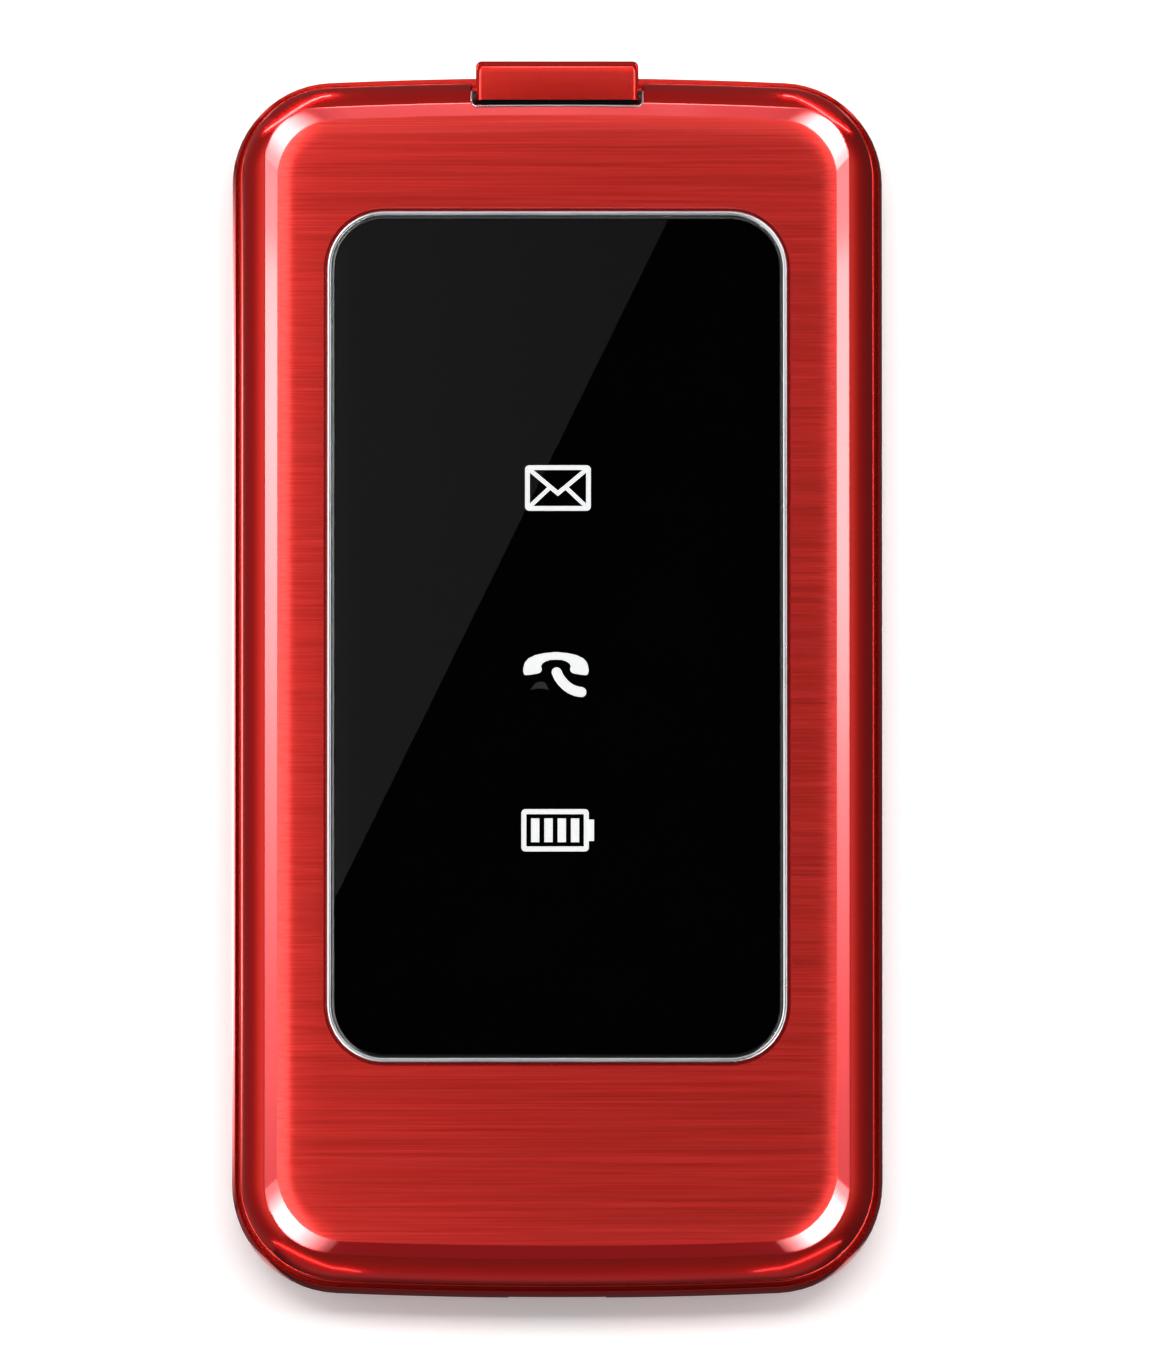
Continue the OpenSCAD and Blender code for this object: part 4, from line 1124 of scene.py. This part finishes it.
def make_battery_cover():
    """The sliding cover, with five finger grooves that grow longer towards the middle one."""
    outline = Outline()
    bm = bmesh.new()
    rings = [outline.ring(inset, z) for inset, z in back_side(1.3)]
    loft(bm, rings, cap_first=True, cap_last=True)
    piece = new_object("battery_door", bm, [material_named("red_paint")], 30.0)
    combine(piece, [prism(cover_outline(0.0), -1, 3)], "INTERSECT")
    first, pitch, longest = 14.45, 1.8, 7
    grooves = []
    for i in range(5):
        half = longest - abs(i - 2)
        grooves.append(prism(rounded_ring((0, first + i * pitch), 2 * half, 0.9, 0.44, 0), -1, 0.35))
    combine(piece, grooves, "DIFFERENCE")
    shade_cut(piece, 30.0)
    dress(piece, "battery_cover", "red_paint", "battery_cover")


# --- keys -----------------------------------------------------------------------------------------

# A key's lowest height, its crown's height and the radius that its crown is rolled to.
KEY_FLOOR, KEY_TOP, KEY_ROLL = 8.9, 10.75, 90.0


def crown(x, middle):
    """The height of a key's rolled crown at x."""
    return KEY_TOP - KEY_ROLL + math.sqrt(KEY_ROLL**2 - (x - middle) ** 2)


def key_half(w, l, r):
    """Half of a key's outline, from its right side over its upper side to its left side."""
    hx, hy = w / 2, l / 2
    points = list(arc(hx - r, hy - r, r, 0, 90, 8)) + list(line(hx - r, hy, r - hx, hy, 12))
    return points + list(arc(r - hx, hy - r, r, 90, 180, 8)) + [(-hx, hy - r)]


def key_ring(x, y, w, l, r, height):
    """A key's outline as a loop whose two halves mirror each other. height gives z at each x."""
    half = key_half(w, l, r)
    loop = half + [(px, -py) for px, py in reversed(half)]
    return [Vector((x + px, y + py, height(x + px))) for px, py in loop]


def make_key(name, x, y, w, l):
    """A key's cap: a flange under the deck, upright sides and a rolled top with a soft edge."""
    flange = 0.8
    bm = bmesh.new()
    rings = [key_ring(x, y, w + flange, l + flange, KEY_CORNER, lambda _, z=z: z)
             for z in (KEY_FLOOR, KEY_FLOOR + 0.4)]
    rings.append(key_ring(x, y, w, l, KEY_CORNER, lambda _: KEY_FLOOR + 0.41))
    for i, drop in ((0.0, 0.34), (0.02, 0.22), (0.08, 0.12), (0.17, 0.05), (0.3, 0.012), (0.5, 0.0)):
        rings.append(key_ring(x, y, w - 2 * i, l - 2 * i, KEY_CORNER - i,
                              lambda at, drop=drop: crown(at, x) - drop))
    top = loft(bm, rings, cap_first=True)[-1]
    count = len(top) // 2
    for i in range(count - 1):
        bm.faces.new((top[i], top[i + 1], top[-i - 2], top[-i - 1]))
    piece = new_object(f"cap_{name}", bm, [material_named("silver_key")], 40.0)
    dress(piece, name, "silver_key", name)


def make_nav_keys():
    """The four-way ring, the key in its middle and the ring's four arrows."""
    bm = bmesh.new()
    profile = [(9.6, KEY_FLOOR), (9.6, 9.1), (NAV_RADIUS, 9.11), (NAV_RADIUS, 10.3), (9.14, 10.42),
               (8.95, 10.55), (8.6, 10.64), (8.0, 10.7), (7.0, 10.73), (6.0, KEY_TOP), (5.3, 10.74),
               (4.95, 10.7), (4.72, 10.6), (4.65, 10.45), (4.65, 9.5), (5.0, 9.5), (5.0, KEY_FLOOR)]
    loft(bm, [disc_ring(NAV, r, z, 160) for r, z in profile], closed=True)
    ring = new_object("nav_cap", bm, [material_named("silver_key")], 40.0)
    dress(ring, "nav_ring", "silver_key", "nav_ring")
    bm = bmesh.new()
    profile = [(4.8, KEY_FLOOR), (4.8, 9.3), (4.4, 9.31), (4.4, 10.45), (4.33, 10.6), (4.15, 10.69),
               (3.8, 10.74), (3.3, KEY_TOP), (2.6, 10.7), (1.8, 10.65), (0.9, 10.62), (0.3, 10.61)]
    loft(bm, [disc_ring(NAV, r, z, 128) for r, z in profile], cap_first=True, cap_last=True)
    middle = new_object("ok_cap", bm, [material_named("silver_key")], 40.0)
    dress(middle, "ok_key", "silver_key", "ok_key")
    bm = bmesh.new()
    arrow = [(-0.55, 6.7), (0.55, 6.7), (0.0, 7.35)]
    for turn in range(4):
        a = math.radians(90 * turn)
        points = [(NAV[0] + x * math.cos(a) - y * math.sin(a), NAV[1] + x * math.sin(a) + y * math.cos(a))
                  for x, y in arrow]
        flat_print(bm, points, KEY_TOP - 0.05, 0.07)
    marks = new_object("nav_marks", bm, [material_named("key_print")], 40.0)
    dress(marks, "nav_ring", "silver_key")


# Marks whose sign differs from their name.
GLYPHS = {"star": "*", "hash": "#"}


def sign_in(bm, letters, x, y, size):
    """Fills an empty mesh with a printed sign, centred, as a thin solid."""
    curve = bpy.data.curves.new("digits", "FONT")
    curve.body = letters
    curve.size = size
    curve.align_x = "CENTER"
    curve.align_y = "CENTER"
    curve.extrude = 0.02
    holder = bpy.data.objects.new("digits", curve)
    bpy.context.scene.collection.objects.link(holder)
    bpy.context.view_layer.update()
    mesh = bpy.data.meshes.new_from_object(holder.evaluated_get(bpy.context.evaluated_depsgraph_get()))
    bm.from_mesh(mesh)
    bmesh.ops.translate(bm, vec=(x, y, 0), verts=list(bm.verts))
    bpy.data.objects.remove(holder)
    bpy.data.curves.remove(curve)
    bpy.data.meshes.remove(mesh)


def handset_sign(bm, x, y, lifted):
    """Adds a handset, an arc with a block at each end, which is turned over where it isn't lifted."""
    reach, lift, way = 1.9, 1.0, 1 if lifted else -1
    points = []
    for a in range(200, 341, 10):
        points.append((x + reach * math.cos(math.radians(a)), y + lift + reach * math.sin(math.radians(a))))
    if not lifted:
        points = [(px, 2 * y - py) for px, py in points]
    print_stroke(bm, points, 0.75, -0.02, 0.04)
    for px, py in (points[0], points[-1]):
        middle = py + 0.12 * way
        box_in(bm, (px - 0.6, middle - 0.5, -0.019), (px + 0.6, middle + 0.5, 0.019))


def make_key_print(name, mark, x, y):
    """A key's sign, laid on its rolled top."""
    bm = bmesh.new()
    if mark == "dash":
        prism_in(bm, rounded_ring((x, y), 3.2, 0.7, 0.3, 0), -0.02, 0.02)
    elif mark in ("call", "end"):
        handset_sign(bm, x, y, mark == "call")
    else:
        sign_in(bm, GLYPHS.get(mark, mark), x, y, 5.2)
    for vert in bm.verts:
        vert.co.z += crown(vert.co.x, x) + 0.004
    piece = new_object(f"print_{name}", bm, [material_named("key_print")], 40.0)
    dress(piece, name, "silver_key")


# --- small parts ----------------------------------------------------------------------------------

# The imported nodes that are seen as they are, by their finish.
CAD_FINISH = {
    "red_paint": ("volume_rocker",),
    "black_rubber": ("lid_bumpers",),
    "black_plastic": ("headset_jack", "camera_module"),
    "steel": ("usb_port", "sim_socket", "strap_pin", "base_screws", "lid_screws", "earpiece_grille",
              "microphone", "vibration_motor", "earpiece", "lid_magnet"),
    "dark_steel": ("hinge_barrel", "hinge_spring", "hinge_follower", "hinge_cam", "hinge_shaft",
                   "hinge_bush"),
    "gold": ("battery_contacts",),
    "board_green": ("main_board", "lid_board"),
    "battery_label": ("battery",),
    "cable_black": ("display_cable_base_run", "display_cable_lid_run"),
    "white_mat": ("keypad_mat", "dome_sheet"),
    "clear_plastic": ("icon_light_guide",),
    "panel_grey": ("display_panel", "loudspeaker"),
    "black_glass": ("camera_window",),
}


def dress_cad_nodes():
    """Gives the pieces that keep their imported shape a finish."""
    for name, nodes in CAD_FINISH.items():
        for node in nodes:
            piece = frame["nodes"][node]
            piece.data.materials.clear()
            piece.data.materials.append(material_named(name))


# --- stage ----------------------------------------------------------------------------------------


def view_way():
    """The direction from the phone to the camera."""
    tilt = bpy.context.scene.phone_stage.tilt
    return Vector((0, -math.sin(tilt), math.cos(tilt)))


def add_camera():
    stage = bpy.context.scene.phone_stage
    lens = bpy.data.cameras.new("camera")
    sensor = 36.0
    lens.sensor_width = sensor
    lens.sensor_fit = "AUTO"
    lens.lens = sensor * stage.distance / stage.frame_height
    lens.clip_start, lens.clip_end = 0.05, 20.0
    camera = bpy.data.objects.new("camera", lens)
    camera.location = Vector(stage.aim) + view_way() * stage.distance
    camera.rotation_euler = (stage.tilt, 0, 0)
    bpy.context.scene.collection.objects.link(camera)
    bpy.context.scene.camera = camera
    bpy.context.scene.view_settings.view_transform = "Standard"


def ray_mix(tree, ray, yes, no):
    """One shader for a kind of ray and another for the rest."""
    path = tree.nodes.new("ShaderNodeLightPath")
    mix = tree.nodes.new("ShaderNodeMixShader")
    tree.links.new(path.outputs[ray], mix.inputs[0])
    tree.links.new(no, mix.inputs[1])
    tree.links.new(yes, mix.inputs[2])
    return mix.outputs[0]


def add_world():
    """A white backdrop, a room for soft light, and a bright room with a dark flag for reflections."""
    tilt = bpy.context.scene.phone_stage.tilt
    world = bpy.data.worlds.new("studio")
    bpy.context.scene.world = world
    world.use_nodes = True
    tree = world.node_tree
    tree.nodes.clear()
    white = add_node(tree, "ShaderNodeBackground", in_0=(1, 1, 1, 1), in_1=1.0)
    room = add_node(tree, "ShaderNodeBackground", in_0=(1, 1, 1, 1))
    mirrored = add_node(tree, "ShaderNodeBackground", in_0=(1, 1, 1, 1))
    place = tree.nodes.new("ShaderNodeTexCoord")
    parts = tree.nodes.new("ShaderNodeSeparateXYZ")
    tree.links.new(place.outputs["Generated"], parts.inputs[0])
    overhead = (0, math.sin(tilt), math.cos(tilt))
    towards = add_node(tree, "ShaderNodeVectorMath", operation="DOT_PRODUCT", in_1=overhead)
    tree.links.new(place.outputs["Generated"], towards.inputs[0])
    edge, core = (math.cos(math.radians(a)) for a in (7, 2.6))
    flag = scaled(tree, towards.outputs["Value"], edge, core, 1.0, 0.01)
    lower = scaled(tree, parts.outputs[1], -0.7, 0.3, 0.05, 0.3)
    left = scaled(tree, parts.outputs[0], -0.5, 0.35, 1.2, 0.85)
    tree.links.new(product(tree, flag, lower, left), mirrored.inputs[1])
    tree.links.new(scaled(tree, parts.outputs[1], -0.7, 0.7, 0.06, 0.7), room.inputs[1])
    out = tree.nodes.new("ShaderNodeOutputWorld")
    inner = ray_mix(tree, "Is Glossy Ray", mirrored.outputs[0], room.outputs[0])
    inner = ray_mix(tree, "Is Transmission Ray", mirrored.outputs[0], inner)
    tree.links.new(ray_mix(tree, "Is Camera Ray", white.outputs[0], inner), out.inputs[0])


FLOOR_HALF = 900


def add_floor():
    """A white floor for the camera, which gives the phone's reflections and soft light their own levels."""
    half, z = FLOOR_HALF, -0.02
    bm = bmesh.new()
    corners = ((-half, -half), (half, -half), (half, half), (-half, half))
    bm.faces.new([bm.verts.new((x, y, z)) for x, y in corners])
    material = bpy.data.materials.new("floor_white")
    material.use_nodes = True
    tree = material.node_tree
    tree.nodes.clear()
    glow = add_node(tree, "ShaderNodeEmission", in_0=(1, 1, 1, 1), in_1=0.26)
    lit = add_node(tree, "ShaderNodeBsdfDiffuse", in_0=(0.95, 0.95, 0.95, 1))
    both = tree.nodes.new("ShaderNodeAddShader")
    dim = add_node(tree, "ShaderNodeBsdfDiffuse", in_0=(0.3, 0.3, 0.3, 1))
    mirrored = add_node(tree, "ShaderNodeEmission", in_0=(1, 1, 1, 1), in_1=0.9)
    out = tree.nodes.new("ShaderNodeOutputMaterial")
    tree.links.new(glow.outputs[0], both.inputs[0])
    tree.links.new(lit.outputs[0], both.inputs[1])
    inner = ray_mix(tree, "Is Glossy Ray", mirrored.outputs[0], dim.outputs[0])
    tree.links.new(ray_mix(tree, "Is Camera Ray", both.outputs[0], inner), out.inputs[0])
    floor = new_object("floor", bm, [material])


def add_light(name, size, place, aim, energy):
    """A softbox with its size and place, turned towards a point and left out of reflections."""
    lamp = bpy.data.lights.new(name, "AREA")
    lamp.shape = "RECTANGLE"
    lamp.size, lamp.size_y = size[0] * MM, size[1] * MM
    lamp.energy = energy
    holder = bpy.data.objects.new(name, lamp)
    holder.location = Vector(place) * MM
    holder.rotation_euler = (Vector(aim) - Vector(place)).to_track_quat("-Z", "Y").to_euler()
    holder.visible_glossy = holder.visible_transmission = False
    bpy.context.scene.collection.objects.link(holder)


def card_material(name, strength, axis, stops):
    """A glow whose brightness follows stops along an axis: (place in millimetres, share of the strength)."""
    material = bpy.data.materials.new(name)
    material.use_nodes = True
    tree = material.node_tree
    tree.nodes.clear()
    place = tree.nodes.new("ShaderNodeTexCoord")
    parts = tree.nodes.new("ShaderNodeSeparateXYZ")
    first, last = stops[0][0], stops[-1][0]
    along = add_node(tree, "ShaderNodeMapRange", in_1=first * MM, in_2=last * MM)
    ramp = tree.nodes.new("ShaderNodeValToRGB")
    elements = ramp.color_ramp.elements
    elements[0].color = (*[stops[0][1]] * 3, 1)
    elements[1].color = (*[stops[-1][1]] * 3, 1)
    for at, value in stops[1:-1]:
        elements.new((at - first) / (last - first)).color = (value, value, value, 1)
    glow = add_node(tree, "ShaderNodeEmission", in_1=strength)
    out = tree.nodes.new("ShaderNodeOutputMaterial")
    tree.links.new(place.outputs["Object"], parts.inputs[0])
    tree.links.new(parts.outputs["XYZ".index(axis)], along.inputs[0])
    tree.links.new(along.outputs[0], ramp.inputs[0])
    tree.links.new(ramp.outputs[0], glow.inputs[0])
    tree.links.new(glow.outputs[0], out.inputs[0])
    return material


def show_in_reflections(name, bm, material):
    """Adds a card that only reflections see."""
    card = new_object(name, bm, [material])
    card.visible_camera = card.visible_diffuse = card.visible_shadow = False
    card.visible_transmission = False


def add_card(name, corners, strength, axis="Y", stops=((0, 1.0), (1, 1.0))):
    """A flat card between its corners."""
    bm = bmesh.new()
    bm.faces.new([bm.verts.new(p) for p in corners])
    show_in_reflections(name, bm, card_material(name, strength, axis, stops))


def add_level_card(name, x, y, z, strength, axis="Y", stops=((0, 1.0), (1, 1.0))):
    """A level card over two spans. Its corners start where the spans start."""
    corners = [(x[0], y[0], z), (x[1], y[0], z), (x[1], y[1], z), (x[0], y[1], z)]
    add_card(name, corners, strength, axis, stops)


def add_strip(name, rows, material):
    """A curved card that joins pairs of points."""
    bm = bmesh.new()
    made = [[bm.verts.new(p) for p in row] for row in rows]
    for near, far in zip(made, made[1:]):
        bm.faces.new((near[0], far[0], far[1], near[1]))
    show_in_reflections(name, bm, material)


def add_band(name, axis, at, strength, stops, low=49.5, high=39.5):
    """A tall curved card along an axis, beside the phone, between two angles from straight up."""
    rows = []
    steps = 48
    first, last = stops[0][0], stops[-1][0]
    for i in range(steps + 1):
        t = first + (last - first) * i / steps
        away = math.hypot(at, t)
        spot = (at, t) if axis == "Y" else (t, at)
        rows.append([(*spot, PLATE_TOP + away / math.tan(math.radians(a))) for a in (low, high)])
    add_strip(name, rows, card_material(name, strength, axis, stops))


def glass_point(x, y, height):
    """Where a card at a height above the window shows in it at a point, as the camera sees it."""
    stage = bpy.context.scene.phone_stage
    eye = Vector(stage.aim) / MM + view_way() * (stage.distance / MM)
    share = height / (eye.z - PLATE_TOP)
    return (x + (x - eye.x) * share, y + (y - eye.y) * share, PLATE_TOP + height)


# Brightness of what the phone's sides and bevel reflect, as (place along it, share of its strength).
LEFT_BAND = ((-260, 0.35), (-200, 0.12), (-30, 0.08), (5, 0.13), (25, 0.26), (39, 0.4), (48, 0.54),
             (62, 0.72), (76, 0.9), (92, 0.9), (106, 0.4), (160, 0.35), (260, 0.6))
RIGHT_BAND = ((-260, 0.3), (-200, 0.1), (-30, 0.07), (5, 0.1), (20, 0.22), (34, 0.36), (44, 0.58), (60, 0.82),
              (95, 0.85), (106, 0.35), (160, 0.3), (260, 0.5))
TOP_BAND = ((-250, 0.0), (-150, 0.02), (-24, 0.03), (-8, 0.09), (4, 0.09), (24, 0.03), (150, 0.02),
            (250, 0.0))
TOP_SOFT = ((-330, 0.0), (-200, 1.0), (200, 1.0), (330, 0.0))
KNUCKLE_BAND = ((-60, 1.0), (60, 1.0))
FLOOR_LEFT = ((-900, 0.7), (-130, 1.0), (-94, 0.9), (-74, 0.7), (-62, 0.48), (-52, 0.3), (-45, 0.24),
              (-36, 0.22), (-31, 0.28), (-28, 0.1), (-27, 0.05))
FLOOR_RIGHT = ((27, 0.05), (36, 0.1), (46, 0.16), (56, 0.25), (66, 0.36), (86, 0.58), (115, 0.8), (900, 0.7))
FLOOR_TOP = ((51, 0.12), (70, 0.3), (110, 0.36), (150, 0.45), (900, 0.6))
FLOOR_LOW = ((-900, 0.3), (-110, 0.22), (-82, 0.3), (-70, 0.38), (-62, 0.42), (-57, 0.1), (-51, 0.03))
FLOOR_NEAR = ((-45, 0.0), (-26, 1.0), (26, 1.0), (45, 0.0))
SHEEN = ((-26, 1.0), (-22, 0.6), (14, 0.45))
# Brightness along a corner's strip, from the side round to the end, at the hinge end and at the bottom end.
CORNER_SHARES = ((0.45, 0.6, 0.85, 1.1, 1.2, 1.2, 1.1, 0.95, 0.75, 0.55, 0.38, 0.22, 0.1, 0.05),
                 (0.14, 0.3, 0.55, 0.8, 0.95, 1.0, 0.85, 0.66, 0.5, 0.36, 0.24, 0.14, 0.07, 0.03))


def add_corner_glow(name, x, y, middle, strength):
    """A curved strip on the floor off a corner, for the lid's side. x and y are the middle of its arc."""
    steps, reach, width, z = 6, 25, 1.2, 0.01
    rows = []
    for i in range(-steps, steps + 1):
        a, bow = math.radians(middle + 4.3 * i), 1 - (i / steps) ** 2
        radii = [reach + 14.5 * bow + side * (width + 2.8 * bow) for side in (-1, 1)]
        rows.append([(x + r * math.cos(a), y + r * math.sin(a), z) for r in radii])
    add_strip(name, rows, card_material(name, strength, "X", ((x - 60, 1.0), (x + 60, 1.0))))


def add_corner_card(name, across, along, strength):
    """A curved strip that shows in the bevel at one corner. across and along give the corner: -1 or 1.

    Each pair of its points lies where the camera's view goes when the bevel mirrors it there.
    """
    outer, inner = bevel_insets()
    end = 0 if along > 0 else 1
    r_outer, r_inner = (pair[end] for pair in BEVEL_CORNERS)
    reach, rise = inner + r_inner - outer - r_outer, plate_height(inner, inner) - COVER_EDGE
    view = view_way()
    spot = Vector((across * 22.0, along * 46.0, PLATE_TOP))
    away, spread = 220.0, math.radians(1.35)
    rows = []
    for turn in range(6, 85, 6):
        a = math.radians(turn)
        slope = math.atan(rise / (reach * (math.cos(a) + math.sin(a)) - r_inner + r_outer))
        row = []
        for lean in (slope - spread, slope + spread):
            flat = math.sin(lean)
            normal = Vector((across * math.cos(a) * flat, along * math.sin(a) * flat, math.cos(lean)))
            row.append(spot + away * (2 * normal.dot(view) * normal - view))
        rows.append(row)
    stops = sorted((row[0].x, share) for row, share in zip(rows, CORNER_SHARES[end]))
    add_strip(name, rows, card_material(name, strength, "X", stops))


def add_lights():
    """The softboxes, and the cards that the paint, the plate and the glass reflect."""
    stage = bpy.context.scene.phone_stage
    left, right = stage.left_light, stage.right_light
    add_band("band_left", "Y", -620, 13.0 * left, LEFT_BAND)
    add_band("band_right", "Y", 620, 12.6 * right, RIGHT_BAND)
    add_band("band_top", "X", 650, 11.0, TOP_BAND, 53.0, 42.0)
    add_band("band_top_soft", "X", 650, 1.6, TOP_SOFT, 62.0, 31.0)
    add_corner_card("corner_a", -1, 1, 16.5 * left)
    add_corner_card("corner_b", 1, 1, 29.0 * right)
    add_corner_card("corner_c", -1, -1, 28.0 * left)
    add_corner_card("corner_d", 1, -1, 46.0 * right)
    add_corner_glow("glow_a", -18.9, 42.2, 119, 24.0 * left)
    add_corner_glow("glow_b", 18.9, 42.2, 61, 15.0 * right)
    add_corner_glow("glow_c", -18.3, -42.8, 246, 4.0 * left)
    add_corner_glow("glow_d", 18.3, -42.8, 294, 3.5 * right)

    # Four cards meet on the floor round the phone, each one growing wider away from it.
    w, l, far = 27, 51, 870
    near = {(i, k): (i * w, k * l, 0.0) for i in (-1, 1) for k in (-1, 1)}
    wide = {(i, k): (i * (w + far), k * (l + far), 0.0) for i in (-1, 1) for k in (-1, 1)}
    for name, a, b, strength, axis, stops in (("floor_left", (-1, -1), (-1, 1), 1.3 * left, "X", FLOOR_LEFT),
                                              ("floor_right", (1, -1), (1, 1), 1.3 * right, "X", FLOOR_RIGHT),
                                              ("floor_top", (-1, 1), (1, 1), 1.2, "Y", FLOOR_TOP),
                                              ("floor_low", (-1, -1), (1, -1), 1.2, "Y", FLOOR_LOW)):
        add_card(name, [near[a], near[b], wide[b], wide[a]], strength, axis, stops)
    add_level_card("floor_near_left", (-31.5, -27.2), (-45, 45), 0.02, 4.0 * left, "Y", FLOOR_NEAR)
    add_level_card("card_over_left", (-230, -75), (-240, 240), 320, 3.9 * left)
    add_level_card("card_over_right", (230, 95), (-240, 240), 320, 1.5 * right)
    add_level_card("card_over_top", (-60, 60), (78, 190), 220, 0.95)
    add_band("band_tab", "X", 650, 12.0, KNUCKLE_BAND, 64.0, 56.0)
    sheen = [glass_point(x, y, 500) for x, y in ((-19.5, 39.5), (9.9, 39.5), (-19.5, -20.5))]
    add_card("card_sheen", sheen, 0.42, "X", SHEEN)
    add_light("softbox_key", (500, 130), (0, 150, 900), (0, 0, 0), 5.2)
    add_light("softbox_left", (260, 600), (-560, 120, 520), (0, 0, 10), 0.75)
    add_light("softbox_right", (260, 600), (560, 120, 520), (0, 0, 10), 0.7)


# --- operators ------------------------------------------------------------------------------------


class PHONE_OT_stage(bpy.types.Operator):
    """Add the camera, the white floor, the room and the softboxes"""

    bl_idname = "phone.stage"
    bl_label = "Stage"
    bl_options = {"REGISTER", "UNDO"}

    def execute(self, context):
        add_camera()
        add_world()
        add_floor()
        add_lights()
        return {"FINISHED"}


class PHONE_OT_lid_cover(bpy.types.Operator):
    """Add the lid's painted cover"""

    bl_idname = "phone.lid_cover"
    bl_label = "Lid cover"
    bl_options = {"REGISTER", "UNDO"}

    def execute(self, context):
        make_lid_cover()
        return {"FINISHED"}


class PHONE_OT_front_plate(bpy.types.Operator):
    """Add the brushed front plate with its bevel"""

    bl_idname = "phone.front_plate"
    bl_label = "Front plate"
    bl_options = {"REGISTER", "UNDO"}

    def execute(self, context):
        make_front_plate()
        make_notch_trim()
        return {"FINISHED"}


class PHONE_OT_window(bpy.types.Operator):
    """Add the window's rim, glass, film and icons"""

    bl_idname = "phone.window"
    bl_label = "Window"
    bl_options = {"REGISTER", "UNDO"}

    def execute(self, context):
        make_window()
        make_icons()
        return {"FINISHED"}


class PHONE_OT_lid_face(bpy.types.Operator):
    """Add the lid's inner face and its lens"""

    bl_idname = "phone.lid_face"
    bl_label = "Lid inner face"
    bl_options = {"REGISTER", "UNDO"}

    def execute(self, context):
        make_lid_face()
        return {"FINISHED"}


class PHONE_OT_front_frame(bpy.types.Operator):
    """Add the frame round the keypad with the hinge knuckle"""

    bl_idname = "phone.front_frame"
    bl_label = "Keypad frame"
    bl_options = {"REGISTER", "UNDO"}

    def execute(self, context):
        make_front_frame()
        return {"FINISHED"}


class PHONE_OT_rear_case(bpy.types.Operator):
    """Add the rear case"""

    bl_idname = "phone.rear_case"
    bl_label = "Rear case"
    bl_options = {"REGISTER", "UNDO"}

    def execute(self, context):
        make_rear_case()
        return {"FINISHED"}


class PHONE_OT_battery_cover(bpy.types.Operator):
    """Add the battery cover"""

    bl_idname = "phone.battery_cover"
    bl_label = "Battery cover"
    bl_options = {"REGISTER", "UNDO"}

    def execute(self, context):
        make_battery_cover()
        return {"FINISHED"}


class PHONE_OT_keys(bpy.types.Operator):
    """Add the digit keys and the side keys with their print"""

    bl_idname = "phone.keys"
    bl_label = "Keys"
    bl_options = {"REGISTER", "UNDO"}

    def execute(self, context):
        for name, mark, x, y, w, l in DIGITS + SIDE_KEYS:
            make_key(name, x, y, w, l)
            make_key_print(name, mark, x, y)
        return {"FINISHED"}


class PHONE_OT_nav_keys(bpy.types.Operator):
    """Add the four-way ring and the middle key"""

    bl_idname = "phone.nav_keys"
    bl_label = "Four-way ring"
    bl_options = {"REGISTER", "UNDO"}

    def execute(self, context):
        make_nav_keys()
        return {"FINISHED"}


class PHONE_OT_small_parts(bpy.types.Operator):
    """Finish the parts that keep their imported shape"""

    bl_idname = "phone.small_parts"
    bl_label = "Small parts"
    bl_options = {"REGISTER", "UNDO"}

    def execute(self, context):
        dress_cad_nodes()
        return {"FINISHED"}


STEPS = (PHONE_OT_stage, PHONE_OT_lid_cover, PHONE_OT_front_plate, PHONE_OT_window, PHONE_OT_lid_face,
         PHONE_OT_front_frame, PHONE_OT_rear_case, PHONE_OT_battery_cover, PHONE_OT_keys, PHONE_OT_nav_keys,
         PHONE_OT_small_parts)


class PHONE_PT_panel(bpy.types.Panel):
    """Lists the phone's pieces in the sidebar"""

    bl_idname = "PHONE_PT_panel"
    bl_label = "Clamshell phone"
    bl_space_type = "VIEW_3D"
    bl_region_type = "UI"
    bl_category = "Phone"

    def draw(self, context):
        for step in STEPS:
            self.layout.operator(step.bl_idname)
        for group in (context.scene.phone_sizes, context.scene.phone_colours, context.scene.phone_stage):
            for name in group.__annotations__:
                self.layout.prop(group, name)


CLASSES = (PhoneSizes, PhoneColours, StageSettings, *STEPS, PHONE_PT_panel)


def register():
    for cls in CLASSES:
        bpy.utils.register_class(cls)
    bpy.types.Scene.phone_sizes = bpy.props.PointerProperty(type=PhoneSizes)
    bpy.types.Scene.phone_colours = bpy.props.PointerProperty(type=PhoneColours)
    bpy.types.Scene.phone_stage = bpy.props.PointerProperty(type=StageSettings)


def unregister():
    del bpy.types.Scene.phone_stage
    del bpy.types.Scene.phone_colours
    del bpy.types.Scene.phone_sizes
    for cls in reversed(CLASSES):
        bpy.utils.unregister_class(cls)


def main():
    """Makes the whole phone and its stage."""
    register()
    bpy.ops.phone.stage()
    bpy.ops.phone.lid_cover()
    bpy.ops.phone.front_plate()
    bpy.ops.phone.window()
    bpy.ops.phone.lid_face()
    bpy.ops.phone.front_frame()
    bpy.ops.phone.rear_case()
    bpy.ops.phone.battery_cover()
    bpy.ops.phone.keys()
    bpy.ops.phone.nav_keys()
    bpy.ops.phone.small_parts()


if __name__ == "__main__":
    main()
